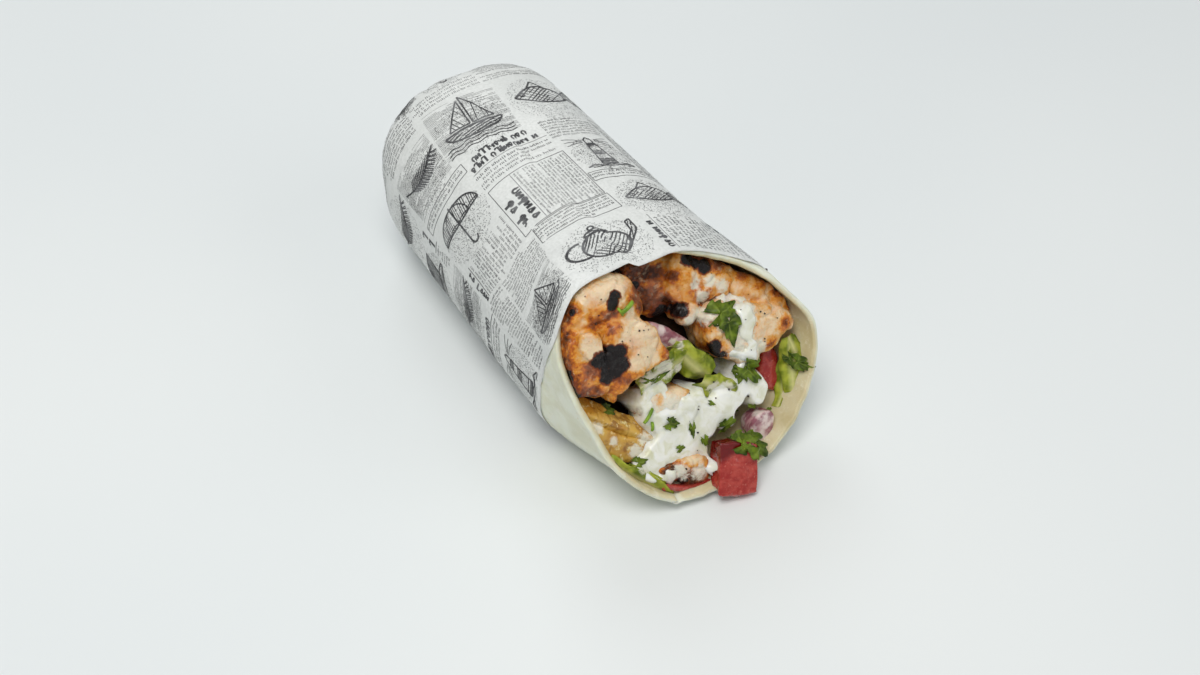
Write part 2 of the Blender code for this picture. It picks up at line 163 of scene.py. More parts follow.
def mouth_station(angle, depth=0.0):
    """Station where the leaning mouth plane, moved in by depth, meets the mouth's outline."""
    lean = math.radians(MOUTH_LEAN)
    height = BODY_CENTRE + mouth_reach(angle) * np.sin(np.radians(angle))
    forward = (RIM_TOP_HEIGHT - height) * math.tan(lean)
    return RIM_TOP_STATION + forward - depth / math.cos(lean)


def skin(station, angle, shrink, shrink_under):
    """The paper's outer skin as (x, z) from the axis."""
    flare = smooth((station - mouth_station(angle) + FLARE_LENGTH) / FLARE_LENGTH)
    reach = mix(body_reach(station, angle, shrink, shrink_under), mouth_reach(angle), flare)
    turn = np.radians(angle)
    return reach * np.cos(turn), reach * np.sin(turn)


def roll_point(station, angle, inset=0.0, shrink=1.0, shrink_under=1.0):
    """Points on the roll, moved in from the paper's outer skin by inset."""
    x0, z0 = skin(station, angle - 1.0, shrink, shrink_under)
    x1, z1 = skin(station, angle + 1.0, shrink, shrink_under)
    size = np.hypot(x1 - x0, z1 - z0) + 1e-9
    x, z = skin(station, angle, shrink, shrink_under)
    x = AXIS_X + x - (z1 - z0) / size * inset
    z = np.maximum(BODY_CENTRE + z + (x1 - x0) / size * inset, inset)
    return np.stack(np.broadcast_arrays(x, -station, z), -1)


def rim_station(angle):
    """The bread's edge, cut by hand, so slightly wavy. At the upper left it ends under the paper."""
    turn = np.radians(angle)
    wave = RIM_WAVE * (np.sin(3 * turn + 1) + np.sin(7 * turn))
    dip = RIM_DIP * np.exp(-(((angle % 360.0 - RIM_DIP_ANGLE) / RIM_DIP_WIDTH) ** 4))
    nicks = 0.22 * np.sin(23 * turn) * np.sin(5 * turn + 2) + 0.12 * np.sin(41 * turn + 1)
    return mouth_station(angle) + wave + nicks - dip


def paper_edge(angle):
    """Station of the paper's cut front edge, which has a small step near the top."""
    angles, stations = zip(*PAPER_EDGE)
    cut = np.interp(angle % 360.0, angles, stations, period=360.0)
    return cut + 0.12 * np.sin(np.radians(17 * angle))


def lap_cover(station, wound):
    """How full, from 0 to 1, the bread's outer lap is where it ends, wound degrees from its start."""
    shortfall = LAP_SHORTFALL * smooth(wound / LAP_ANGLE * 2.0)
    ahead = rim_station(INNER_EDGE_ANGLE - wound) - shortfall - station
    return smooth(np.minimum(ahead, (LAP_ANGLE - wound) * 0.6) / LAP_TAPER)


def bread_inside_reach(station, angle):
    """Distance from the axis to the bread's inner face."""
    sunk = lap_cover(station, (INNER_EDGE_ANGLE - angle) % 360.0)
    inset = BREAD_INSET + BREAD + sunk * (BREAD + BREAD_LAP_GAP)
    x, z = skin(station, angle, 1.0, 1.0)
    return np.hypot(x, z) - inset * 1.04


# ------------------------------------------------------------------ the mouth's plane

LEAN = math.radians(MOUTH_LEAN)
MOUTH_ORIGIN = np.array((AXIS_X, -RIM_TOP_STATION, RIM_TOP_HEIGHT))
MOUTH_AXES = np.array(
    ((1.0, 0.0, 0.0), (0.0, math.sin(LEAN), math.cos(LEAN)), (0.0, -math.cos(LEAN), math.sin(LEAN)))
)


def to_world(points):
    return MOUTH_ORIGIN + np.asarray(points, float) @ MOUTH_AXES


def to_mouth(points):
    return (np.asarray(points, float) - MOUTH_ORIGIN) @ MOUTH_AXES.T


# ------------------------------------------------------------------ meshes


def new_object(name, points, faces, material):
    """A smooth-shaded mesh object from points in millimetres."""
    mesh = bpy.data.meshes.new(name)
    mesh.from_pydata((np.asarray(points) * MM).tolist(), [], [list(map(int, face)) for face in faces])
    mesh.update()
    mesh.shade_smooth()
    made = bpy.data.objects.new(name, mesh)
    bpy.context.scene.collection.objects.link(made)
    mesh.materials.append(material)
    return made


def coordinates(obj):
    flat = np.empty(len(obj.data.vertices) * 3)
    obj.data.vertices.foreach_get("co", flat)
    return flat.reshape(-1, 3) / MM


def set_coordinates(obj, points):
    obj.data.vertices.foreach_set("co", (np.asarray(points) * MM).ravel())
    obj.data.update()


def normals(obj):
    flat = np.empty(len(obj.data.vertices) * 3)
    obj.data.vertices.foreach_get("normal", flat)
    return flat.reshape(-1, 3)


def paint(obj, name, values):
    """Stores one number for each vertex, for the material to read."""
    layer = obj.data.attributes.new(name, "FLOAT", "POINT")
    layer.data.foreach_set("value", np.asarray(values, np.float32))


def modify(obj, kind, **settings):
    """Adds a modifier, to be turned into mesh by baked."""
    modifier = obj.modifiers.new(kind.lower(), kind)
    for key, value in settings.items():
        setattr(modifier, key, value)


def baked(obj):
    """Turns the object's modifiers into plain mesh."""
    graph = bpy.context.evaluated_depsgraph_get()
    mesh = bpy.data.meshes.new_from_object(obj.evaluated_get(graph))
    obj.modifiers.clear()
    obj.data = mesh
    mesh.shade_smooth()
    return obj


def thickened(obj, thickness):
    modify(obj, "SOLIDIFY", thickness=thickness * MM, offset=0.0)
    return baked(obj)


def finish_piece(obj, slot, *nodes):
    """Gives a piece its body and hides the construction's nodes that it replaces. Its slot is not used.
    """
    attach(obj, "root")
    if nodes:
        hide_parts(*nodes)
    return obj


def grid_faces(rows, columns, ring=False):
    """Quads of a grid of points that are numbered row by row."""
    last = columns if ring else columns - 1
    faces = []
    for start in range(0, (rows - 1) * columns, columns):
        for a in range(last):
            b = (a + 1) % columns
            faces.append([start + a, start + b, start + columns + b, start + columns + a])
    return faces


def joined(parts):
    """Points and faces of several parts as those of one mesh."""
    points, faces, start = [], [], 0
    for part, its_faces in parts:
        points.append(np.reshape(part, (-1, 3)))
        faces += [[start + index for index in face] for face in its_faces]
        start += len(points[-1])
    return np.concatenate(points), faces


def slab(name, outer, inner, material):
    """A closed sheet between two grids of points."""
    rows, columns = outer.shape[:2]
    count = rows * columns
    quads = grid_faces(rows, columns)
    points, faces = joined(((outer, quads), (inner, [quad[::-1] for quad in quads])))
    border = [(0, j) for j in range(columns)] + [(i, columns - 1) for i in range(1, rows)]
    border += [(rows - 1, j) for j in range(columns - 2, -1, -1)]
    border += [(i, 0) for i in range(rows - 2, 0, -1)]
    border = [i * columns + j for i, j in border]
    walls = [(b, a, a + count, b + count) for a, b in zip(border, border[1:] + border[:1])]
    return outward(new_object(name, points, faces + walls, material))


def outward(obj):
    """Makes the faces of a closed mesh point out."""
    bm = bmesh.new()
    bm.from_mesh(obj.data)
    bmesh.ops.remove_doubles(bm, verts=bm.verts, dist=1e-6)
    bmesh.ops.recalc_face_normals(bm, faces=bm.faces)
    bm.to_mesh(obj.data)
    bm.free()
    obj.data.shade_smooth()
    return obj


def grid_normals(points):
    """Outward unit normals of a grid whose columns run clockwise round the roll, seen from its mouth."""
    normal = np.cross(np.gradient(points, axis=1), np.gradient(points, axis=0))
    size = np.linalg.norm(normal, axis=-1, keepdims=True)
    normal = normal / np.maximum(size, 1e-9)
    axis = np.array((AXIS_X, 0.0, BODY_CENTRE))
    spoke = (points - axis) * (1.0, 0.0, 1.0)
    return normal if (normal * spoke).sum() > 0 else -normal


# ------------------------------------------------------------------ materials


def srgb(red, green, blue):
    """Linear colour from the usual 0 to 255 values."""
    shares = (value / 255.0 for value in (red, green, blue))
    return tuple(s / 12.92 if s <= 0.04045 else ((s + 0.055) / 1.055) ** 2.4 for s in shares) + (1.0,)


class Finish:
    """A material under construction: a Principled shader and short ways to add nodes to it."""

    def __init__(
        self, name, roughness=0.5, subsurface=0.0, radius=(1.0, 0.5, 0.3), reach=2.0, coat=0.0, shine=0.5
    ):
        self.material = bpy.data.materials.new(name)
        self.material.use_nodes = True
        self.tree = self.material.node_tree
        self.shader = self.tree.nodes["Principled BSDF"]
        self.set("Roughness", roughness)
        self.set("Subsurface Weight", subsurface)
        self.set("Subsurface Radius", radius)
        self.set("Subsurface Scale", reach * MM)
        self.set("Coat Weight", coat)
        self.set("Specular IOR Level", shine)
        self.set("Coat Roughness", 0.12)
        self.place = self.tree.nodes.new("ShaderNodeTexCoord").outputs["Object"]

    def set(self, socket, value):
        self.plug(self.shader.inputs[socket], value)

    def plug(self, socket, value):
        if isinstance(value, bpy.types.NodeSocket):
            self.tree.links.new(value, socket)
        else:
            socket.default_value = value

    def node(self, kind, inputs, **settings):
        made = self.tree.nodes.new(kind)
        for key, value in settings.items():
            setattr(made, key, value)
        for key, value in inputs.items():
            self.plug(made.inputs[key], value)
        return made

    def noise(self, size, detail=3.0, rough=0.55, bend=0.0, stretch=None):
        """Noise with features of about size millimetres, optionally stretched along X, Y and Z."""
        place = self.place
        if stretch:
            place = self.node("ShaderNodeMapping", {"Vector": place, "Scale": stretch}).outputs[0]
        inputs = {"Vector": place, "Scale": 1.0 / (size * MM), "Detail": detail}
        inputs.update({"Roughness": rough, "Distortion": bend})
        return self.node("ShaderNodeTexNoise", inputs).outputs["Fac"]

    def cells(self, size):
        inputs = {"Vector": self.place, "Scale": 1.0 / (size * MM)}
        return self.node("ShaderNodeTexVoronoi", inputs).outputs["Distance"]

    def painted(self, name):
        return self.node("ShaderNodeAttribute", {}, attribute_name=name).outputs["Fac"]

    def maths(self, operation, a, b):
        return self.node("ShaderNodeMath", {0: a, 1: b}, operation=operation).outputs[0]

    def span(self, value, low, high, out_low=0.0, out_high=1.0):
        """Maps low to high onto out_low to out_high, with soft ends."""
        inputs = {"Value": value, "From Min": low, "From Max": high}
        inputs.update({"To Min": out_low, "To Max": out_high})
        made = self.node("ShaderNodeMapRange", inputs, interpolation_type="SMOOTHSTEP")
        return made.outputs[0]

    def blend(self, share, a, b):
        made = self.node("ShaderNodeMix", {}, data_type="RGBA")
        self.plug(made.inputs["Factor"], share)
        self.plug(made.inputs[6], a)
        self.plug(made.inputs[7], b)
        return made.outputs[2]

    def layers(self, base, *overlays):
        """A base colour with others over it: pattern, low, high, strongest share and colour of each."""
        colour = srgb(*base) if isinstance(base, tuple) else base
        for pattern, low, high, most, over in overlays:
            over = srgb(*over) if isinstance(over, tuple) else over
            colour = self.blend(self.span(pattern, low, high, 0.0, most), colour, over)
        return colour

    def spread(self, *parts):
        """Adds patterns to the first value, each about its middle and by its own weight."""
        total = parts[0]
        for pattern, weight in parts[1:]:
            swing = self.maths("MULTIPLY", self.maths("SUBTRACT", pattern, 0.5), weight)
            total = self.maths("ADD", total, swing)
        return total

    def ramp(self, value, stops):
        """Runs through several colours as the value rises."""
        made = self.node("ShaderNodeValToRGB", {"Fac": value})
        elements = made.color_ramp.elements
        while len(elements) < len(stops):
            elements.new(0.5)
        for element, (position, colour) in zip(elements, stops):
            element.position, element.color = position, srgb(*colour)
        return made.outputs["Color"]

    def film(self, colour):
        """A thin, broken smear of sauce over the colour, where one is painted."""
        painted = self.painted("film")
        broken = self.spread(painted, (self.noise(1.7, detail=6.0, rough=0.65, bend=0.5), 2.0))
        share, near = self.span(broken, 0.35, 0.95, 0.0, 0.85), self.span(painted, 0.02, 0.3)
        return self.blend(self.maths("MULTIPLY", share, near), colour, srgb(234, 230, 212))

    def bump(self, height, depth, strength=1.0):
        inputs = {"Height": height, "Distance": depth * MM, "Strength": strength}
        self.set("Normal", self.node("ShaderNodeBump", inputs).outputs[0])


def paper_finish():
    look = Finish("printed_paper", roughness=0.55)
    fibres = look.noise(0.9, detail=4.0)
    colour = look.layers(
        (219, 221, 218),
        (look.noise(22.0, detail=2.0), 0.3, 0.7, 1.0, (229, 230, 227)),
        (fibres, 0.35, 0.75, 1.0, (212, 214, 210)),
        (look.noise(5.0, detail=4.0, bend=1.0), 0.5, 0.72, 0.35, (196, 197, 194)),
    )
    look.set("Base Color", colour)
    look.bump(fibres, 0.03, 0.5)
    return look.material


def ink_finish():
    look = Finish("grey_ink", roughness=0.7)
    worn, patches = look.noise(0.8), look.noise(9.0, detail=2.0)
    colour = look.layers(
        (48, 48, 50), (worn, 0.4, 0.7, 1.0, (92, 92, 93)), (patches, 0.45, 0.7, 1.0, (118, 119, 120))
    )
    look.set("Base Color", colour)
    return look.material


def bread_finish():
    look = Finish("flatbread_crumb", roughness=0.55, subsurface=0.35, radius=(1.0, 0.8, 0.5), reach=2.5)
    clouds, grain = look.noise(11.0, detail=4.0, bend=0.6), look.noise(1.3, detail=4.0)
    outside = look.layers((228, 230, 212), (clouds, 0.35, 0.68, 1.0, (215, 215, 190)))
    # The inner face: the crumb's own warmer tone, made darker as painted shade of the roll's hollow.
    inside = look.layers((216, 206, 170), (clouds, 0.3, 0.7, 1.0, (196, 182, 138)))
    colour = look.layers(
        look.blend(look.painted("inside"), outside, inside),
        (look.noise(6.0, bend=1.5), 0.66, 0.74, 0.3, (200, 176, 122)),
        (grain, 0.55, 0.8, 0.35, (240, 238, 222)),
        (look.noise(3.0, detail=5.0, rough=0.7), 0.56, 0.68, 0.4, (236, 233, 218)),
    )
    look.set("Base Color", colour)
    look.bump(look.maths("ADD", look.noise(3.5), look.maths("MULTIPLY", grain, 0.25)), 0.35, 0.5)
    return look.material


def chicken_finish():
    look = Finish(
        "grilled_chicken", subsurface=0.2, radius=(1.0, 0.5, 0.25), reach=1.2, coat=0.22, shine=0.24
    )
    broad = look.noise(6.0, detail=4.0, bend=0.8)
    fine = look.noise(1.5, detail=5.0, rough=0.65)
    fibres = look.noise(1.0, stretch=(0.3, 1.0, 0.45))
    # Browning, and on chicken_top's left lobe painted shade where it turns from the light.
    browning_and_shade = look.spread(look.painted("browning_and_shade"), (broad, 0.9), (fine, 0.95))
    stops = (
        (0.0, (238, 214, 178)), (0.18, (234, 196, 150)), (0.34, (228, 172, 98)), (0.5, (222, 146, 46)),
        (0.66, (188, 100, 22)), (0.82, (132, 64, 12)), (1.0, (72, 32, 6)),
    )
    colour = look.ramp(browning_and_shade, stops)
    pinkish = look.blend(0.55, colour, srgb(214, 142, 112))
    deep = look.spread(look.painted("char"), (fine, 0.7))
    colour = look.layers(
        colour,
        (look.noise(8.0), 0.46, 0.64, 0.5, pinkish),
        (fibres, 0.54, 0.74, 0.35, (238, 216, 178)),
        (deep, 0.16, 0.42, 1.0, (120, 54, 20)),
        (deep, 0.42, 0.6, 1.0, (22, 15, 14)),
    )
    specks = look.span(look.cells(1.7), 0.10, 0.22, 0.8, 0.0)
    sparse = look.span(look.noise(4.0, detail=1.0), 0.54, 0.62)
    colour = look.blend(look.maths("MULTIPLY", specks, sparse), colour, srgb(112, 62, 34))
    look.set("Base Color", look.film(colour))
    look.set("Roughness", look.span(fine, 0.3, 0.7, 0.2, 0.42))
    look.bump(look.maths("ADD", look.maths("MULTIPLY", fibres, 0.6), fine), 0.65, 0.9)
    return look.material


def sauce_finish():
    look = Finish("yogurt_sauce", 0.2, subsurface=0.5, radius=(1.0, 0.95, 0.75), reach=1.6, coat=0.3)
    colour = look.layers(
        (244, 244, 236),
        (look.noise(6.0, bend=1.0), 0.35, 0.7, 1.0, (226, 226, 204)),
        (look.noise(5.0, detail=4.0, bend=1.0), 0.54, 0.7, 0.4, (204, 202, 146)),
    )
    look.set("Base Color", colour)
    look.bump(look.noise(3.4), 0.35, 0.7)
    return look.material


def tomato_finish():
    look = Finish("cut_tomato", 0.2, subsurface=0.3, radius=(1.0, 0.25, 0.15), reach=2.0, coat=0.4)
    colour = look.layers(
        (158, 38, 32),
        (look.noise(3.2, detail=4.0, bend=0.5), 0.35, 0.65, 1.0, (184, 72, 60)),
        (look.noise(1.0, detail=4.0), 0.55, 0.75, 0.5, (214, 126, 108)),
    )
    colour = look.blend(look.painted("skin"), colour, srgb(110, 12, 10))
    look.set("Base Color", look.film(colour))
    look.bump(look.noise(1.4), 0.3, 0.5)
    return look.material


def onion_finish():
    look = Finish("red_onion", 0.22, subsurface=0.35, radius=(1.0, 0.6, 0.7), reach=2.0, coat=0.3)
    rings = look.noise(1.6, detail=2.0, stretch=(0.3, 1.0, 0.4))
    colour = look.layers(
        (150, 92, 104),
        (rings, 0.4, 0.65, 1.0, (196, 150, 152)),
        (look.noise(4.5), 0.42, 0.62, 1.0, (228, 210, 204)),
    )
    look.set("Base Color", look.film(colour))
    look.bump(rings, 0.25, 0.5)
    return look.material


def potato_finish():
    look = Finish("fried_potato", 0.26, 0.25, radius=(1.0, 0.7, 0.3), reach=1.4, coat=0.25, shine=0.5)
    # Where this noise is low the colour turns pale: painted highlights. The same noise gives the crisp
    # bump.
    crisp_and_highlights = look.noise(2.2, detail=5.0, rough=0.6)
    colour = look.layers(
        (214, 172, 76),
        (look.noise(8.0), 0.35, 0.65, 1.0, (188, 134, 46)),
        (look.noise(3.0, detail=5.0, bend=1.2), 0.46, 0.68, 0.75, (136, 84, 22)),
        (crisp_and_highlights, 0.44, 0.32, 1.0, (230, 212, 150)),
    )
    look.set("Base Color", look.film(colour))
    look.bump(crisp_and_highlights, 0.35, 0.8)
    return look.material


def leaf_finish(name, deep, bright, pale, roughness=0.35):
    """Leaf green that pales towards the painted rib."""
    look = Finish(name, roughness, 0.15, radius=(0.5, 1.0, 0.2), reach=0.8, coat=0.05, shine=0.2)
    colour = look.layers(deep, (look.noise(3.4, detail=2.0), 0.3, 0.7, 1.0, bright))
    colour = look.blend(look.painted("rib"), colour, srgb(*pale))
    look.set("Base Color", look.film(colour))
    look.bump(look.noise(1.0), 0.2, 0.6)
    return look.material


def pepper_finish():
    look = Finish("ground_pepper", roughness=0.6)
    look.set("Base Color", look.layers((22, 18, 16), (look.noise(0.4), 0.4, 0.6, 1.0, (66, 44, 30))))
    return look.material


def filling_shade_finish():
    # Near black with faint brown and green: painted shade for the deep gaps between the pieces, where the
    # filling shows.
    look = Finish("filling_in_painted_shade", shine=0.2)
    colour = look.layers(
        (16, 10, 6),
        (look.noise(6.0, detail=4.0), 0.35, 0.6, 1.0, (46, 28, 14)),
        (look.noise(9.0), 0.6, 0.7, 1.0, (36, 40, 14)),
    )
    look.set("Base Color", colour)
    look.bump(look.noise(1.6, detail=4.0), 0.6, 0.8)
    return look.material


# ------------------------------------------------------------------ paper


class PaperSheet:
    """The sheet wound round the roll and gathered over its back end, as a grid of points.

    Its own flat coordinates are (across, along) in millimetres: across runs clockwise round the
    roll seen from the mouth, along runs from the back end's tip to the front edge.
    """

    COLUMN_STEP = 1.35
    BODY_STEPS, END_STEPS = 78, 34
    MEASURED_ROW = -30  # the row whose girth counts as the sheet's width
    LAP_RISE_START, LAP_RISE = 4.0, 12.0
    PLEAT_WIDTHS, PLEAT_DEPTH, PLEAT_TWIST = (13.0, 30.0), 1.7, 16.0

    def __init__(self):
        self.wound = np.arange(0.0, 360.0 + PAPER_LAP + 0.01, self.COLUMN_STEP)
        self.angle = PAPER_START_ANGLE - self.wound
        station, shrink, under, self.gather = self.rows()
        below_lap = 1.0 - smooth((self.wound - PAPER_LAP + self.LAP_RISE_START) / self.LAP_RISE)
        inset = PAPER_LAP_GAP * below_lap[None, :]
        points = roll_point(station, self.angle[None, :], inset, shrink, under)
        self.across = self.lengths(points[self.MEASURED_ROW])
        self.along = self.lengths(points[:, len(self.wound) // 3])
        self.normal = grid_normals(points)
        self.normal[0] = (0.0, 1.0, 0.0)
        self.points = points + self.normal * self.creases(points)[..., None]

    def rows(self):
        """Station, shrinking and gathering of each row, from the tip of the back end forwards."""
        turn = np.linspace(math.pi / 2, 0.0, self.END_STEPS, endpoint=False)
        share = np.sin(turn) ** (2.0 / END_POWER)
        shrink = np.maximum(np.cos(turn), 1e-4) ** (2.0 / END_POWER)
        under = np.maximum(1.0 - share**END_POWER_UNDER, 1e-4) ** (1.0 / END_POWER_UNDER)
        under[0] = shrink[0]
        end_station = mix(SHOULDER_STATION, BACK_STATION, share)[:, None] + 0.0 * self.wound
        part = np.linspace(0.0, 1.0, self.BODY_STEPS)[:, None]
        body_station = mix(SHOULDER_STATION, paper_edge(self.angle)[None, :], part)
        ones = np.ones((self.BODY_STEPS, 1))
        gather = np.concatenate((smooth((turn / (math.pi / 2) - 0.3) / 0.5), np.zeros(self.BODY_STEPS)))
        return (
            np.concatenate((end_station, body_station)),
            np.concatenate((shrink[:, None], ones)),
            np.concatenate((under[:, None], ones)),
            gather[:, None],
        )

    @staticmethod
    def lengths(line):
        steps = np.linalg.norm(np.diff(line, axis=0), axis=1)
        return np.concatenate(((0.0,), np.cumsum(steps)))

    def creases(self, points):
        """How far the paper stands off the smooth skin, almost always inwards."""
        broad = 0.20 * noise_at(points, 26.0, 3.0)
        folds = -0.34 * ridges_at(points * (1.0, 0.55, 1.0), 15.0, 11.0, 5)
        near_end = smooth((70.0 - self.along) / 50.0)[:, None]
        crumple = -0.8 * near_end * ridges_at(points, 11.0, 21.0, 4)
        crumple -= 1.3 * near_end * ridges_at(points, 24.0, 27.0, 3)
        return broad - 0.15 + folds + crumple - self.PLEAT_DEPTH * self.gather * self.pleats()

    def pleats(self):
        """Overlapping folds of unequal width round the gathered end: each rises, then drops."""
        rng = random.Random(5)
        edges = [0.0]
        while edges[-1] < 380.0 + PAPER_LAP:
            edges.append(edges[-1] + rng.uniform(*self.PLEAT_WIDTHS))
        turned = np.clip(self.wound[None, :] + self.PLEAT_TWIST * self.gather, 0.0, edges[-1] - 0.01)
        index = np.searchsorted(edges, turned, side="right") - 1
        edges = np.array(edges)
        return (turned - edges[index]) / (edges[index + 1] - edges[index])

    def at(self, across, along, lift):
        """Points of the sheet's outer face at flat coordinates, lifted off it."""
        j = np.interp(across, self.across, np.arange(len(self.across)))
        i = np.interp(along, self.along, np.arange(len(self.along)))
        j0 = np.minimum(j.astype(int), len(self.across) - 2)
        i0 = np.minimum(i.astype(int), len(self.along) - 2)
        fj, fi = (j - j0)[..., None], (i - i0)[..., None]

        def between(grid):
            near = mix(grid[i0, j0], grid[i0, j0 + 1], fj)
            far = mix(grid[i0 + 1, j0], grid[i0 + 1, j0 + 1], fj)
            return mix(near, far, fi)

        return between(self.points) + between(self.normal) * lift

    def make(self, material):
        return slab("paper_sheet", self.points, self.points - self.normal * PAPER, material)


# ------------------------------------------------------------------ print on the paper


class Ink:
    """Flat strokes, kept as quads of points (x to the right, y up) in millimetres."""

    LONGEST = 2.6
    HEADLINE, SIGN_WIDTH = 1.8, 0.44
    # Each sign's strokes, in shares of its width and height: a bar from (x, y) to (x, y), or an
    # arc's centre, half sizes, start, end and steps. A stroke's thickness comes last.
    SIGNS = (
        ((0, 0, 0, 0.66, 1), (1, 0, 1, 0.66, 1), (0, 0, 1, 0.66, 0.6)),
        ((0.5, -0.099, 0.5, 1, 1), (0.5, 0.264, 0.62, 0.2376, 0, 360, 14, 0.7)),
        ((1, 0, 1, 1, 1), (0, 0.92, 1, 0.92, 0.7), (0, 0.92, 0, 0.7, 0.7)),
        ((1, 0, 1, 0.66, 1), (0.5, 0.66, 0.5, 0.297, 180, 350, 7, 0.7)),
        ((0.5, 0.363, 0.55, 0.297, -60, 240, 12, 0.8), (0, 0, 0.3, 0, 0.7), (0.7, 0, 1, 0, 0.7)),
        ((0, 0.66, 0.5, 0, 1), (0.5, 0, 1, 0.66, 0.6), (0, 0.66, 1, 0.66, 0.7)),
    )

    def __init__(self, seed):
        self.quads = []
        self.rng = random.Random(seed)

    def bar(self, start, end, width):
        """A straight stroke, cut into pieces short enough to bend round the roll."""
        start, end = np.array(start, float), np.array(end, float)
        length = np.linalg.norm(end - start)
        if length < 1e-6:
            return
        side = np.array((start[1] - end[1], end[0] - start[0])) / length * width / 2
        count = max(1, math.ceil(length / self.LONGEST))
        cuts = [mix(start, end, k / count) for k in range(count + 1)]
        for a, b in zip(cuts, cuts[1:]):
            self.quads.append((a - side, b - side, b + side, a + side))

    def line(self, points, width, closed=False):
        points = list(points)
        for a, b in zip(points, points[1:] + (points[:1] if closed else [])):
            self.bar(a, b, width)

    def hatch(self, outline, gap, slope, width, fade=0.12):
        """Slanting lines inside a closed outline, broken here and there as in an engraving."""
        outline = np.array(outline, float)
        turn = np.array(((math.cos(slope), math.sin(slope)), (-math.sin(slope), math.cos(slope))))
        turned = outline @ turn.T
        level = turned[:, 1].min() + gap / 2
        while level < turned[:, 1].max():
            crossings = []
            for (x0, y0), (x1, y1) in zip(turned, np.roll(turned, -1, axis=0)):
                if (y0 > level) != (y1 > level):
                    crossings.append(x0 + (level - y0) / (y1 - y0) * (x1 - x0))
            crossings.sort()
            for left, right in zip(crossings[::2], crossings[1::2]):
                while left < right:
                    reach = min(right, left + self.rng.uniform(2.0, 9.0))
                    ends = np.array(((left, level), (reach, level))) @ turn
                    if self.rng.random() > fade:
                        self.bar(ends[0], ends[1], width * self.rng.uniform(0.7, 1.3))
                    left = reach + self.rng.uniform(0.1, 0.4)
            level += gap * self.rng.uniform(0.85, 1.15)

    def stipple(self, centre, half, count, size):
        """A cloud of fine dots that thins out towards its edge."""
        for _ in range(count):
            turn, reach = self.rng.uniform(0, math.tau), self.rng.random() ** 0.6
            x = centre[0] + half[0] * reach * math.cos(turn)
            y = centre[1] + half[1] * reach * math.sin(turn)
            self.bar((x, y), (x + size, y), size * self.rng.uniform(0.6, 1.2))

    def words(self, x0, x1, y, height, bold=0.2):
        """A line of marks that looks like print from afar and spells nothing."""
        rng, headline = self.rng, height > self.HEADLINE
        x = x0
        while x < x1 - height:
            for _ in range(rng.randint(2, 8)):
                if x > x1 - height * 0.6:
                    break
                if headline:
                    self.letter(x, y, height, bold)
                else:
                    tall = height * rng.choice((0.66, 0.66, 0.72, 1.0))
                    lean = rng.uniform(-0.12, 0.12) * height
                    self.bar((x, y), (x + lean, y + tall), height * bold)
                    if rng.random() < 0.55:
                        level = y + rng.choice((0.1, 0.5, 0.62)) * height
                        self.bar((x, level), (x + 0.34 * height, level), height * bold * 0.7)
                x += height * rng.uniform(0.5, 0.72) * (1.15 if headline else 1.0)
            x += height * 0.55

    def letter(self, x, y, height, bold):
        """One made-up sign of a headline, which belongs to no Latin alphabet."""
        for *stroke, thickness in self.SIGNS[self.rng.randrange(len(self.SIGNS))]:
            if len(stroke) == 4:
                points = stroke[:2], stroke[2:]
            else:
                points = arc(stroke[:2], stroke[2:4], *stroke[4:])
            placed = [(x + a * self.SIGN_WIDTH * height, y + b * height) for a, b in points]
            self.line(placed, height * bold * thickness)


def arc(centre, half, start, end, steps=16):
    turns = np.radians(np.linspace(start, end, steps))
    return [(centre[0] + half[0] * math.cos(t), centre[1] + half[1] * math.sin(t)) for t in turns]


class Sketch:
    """A picture in the making: points run from -1 to 1 over its block, widths grow with it."""

    def __init__(self, ink, place, scale):
        self.ink, self.place, self.scale = ink, place, scale

    def line(self, points, width, closed=False):
        self.ink.line([self.place(x, y) for x, y in points], width * self.scale, closed)

    def hatch(self, points, gap, slope, width, fade=0.12):
        outline = [self.place(x, y) for x, y in points]
        self.ink.hatch(outline, gap * self.scale, slope, width * self.scale, fade)

    def shape(self, points, edge, gap, slope, width, fade=0.12):
        """An outline filled with slanting lines."""
        self.line(points, edge, closed=True)
        self.hatch(points, gap, slope, width, fade)


def draw_sailing_boat(pen):
    pen.shape(arc((0, -0.28), (0.8, 0.36), 180, 360), 0.4, 0.55, 0.1, 0.3)
    pen.shape(((0.04, -0.2), (0.04, 0.95), (0.66, -0.16)), 0.32, 0.8, 1.3, 0.16, fade=0.3)
    pen.shape(((-0.05, -0.2), (-0.05, 0.8), (-0.62, -0.18)), 0.32, 0.8, 1.9, 0.16, fade=0.3)
    for level in (-0.72, -0.84, -0.95):
        pen.line([(x, level + 0.03 * math.sin(14 * x)) for x in np.linspace(-0.95, 0.95, 26)], 0.2)


def draw_teapot(pen):
    spout = (0.5, -0.25), (0.74, 0.0), (0.82, 0.38), (0.96, 0.42), (0.9, -0.02), (0.48, -0.42)
    pen.shape(arc((0, -0.15), (0.56, 0.52), 0, 360, 30), 0.42, 0.6, 0.9, 0.24, fade=0.2)
    pen.hatch(arc((0, -0.2), (0.46, 0.44), 190, 350, 14), 0.7, -0.8, 0.24)
    pen.shape(arc((0, 0.34), (0.3, 0.16), 0, 180, 12), 0.36, 0.55, 0.0, 0.22)
    pen.shape(spout, 0.34, 0.6, 1.1, 0.2)
    pen.line(arc((-0.58, -0.05), (0.34, 0.34), 75, 285), 0.5)
    pen.line(arc((0, 0.56), (0.08, 0.08), 0, 360, 10), 0.4)


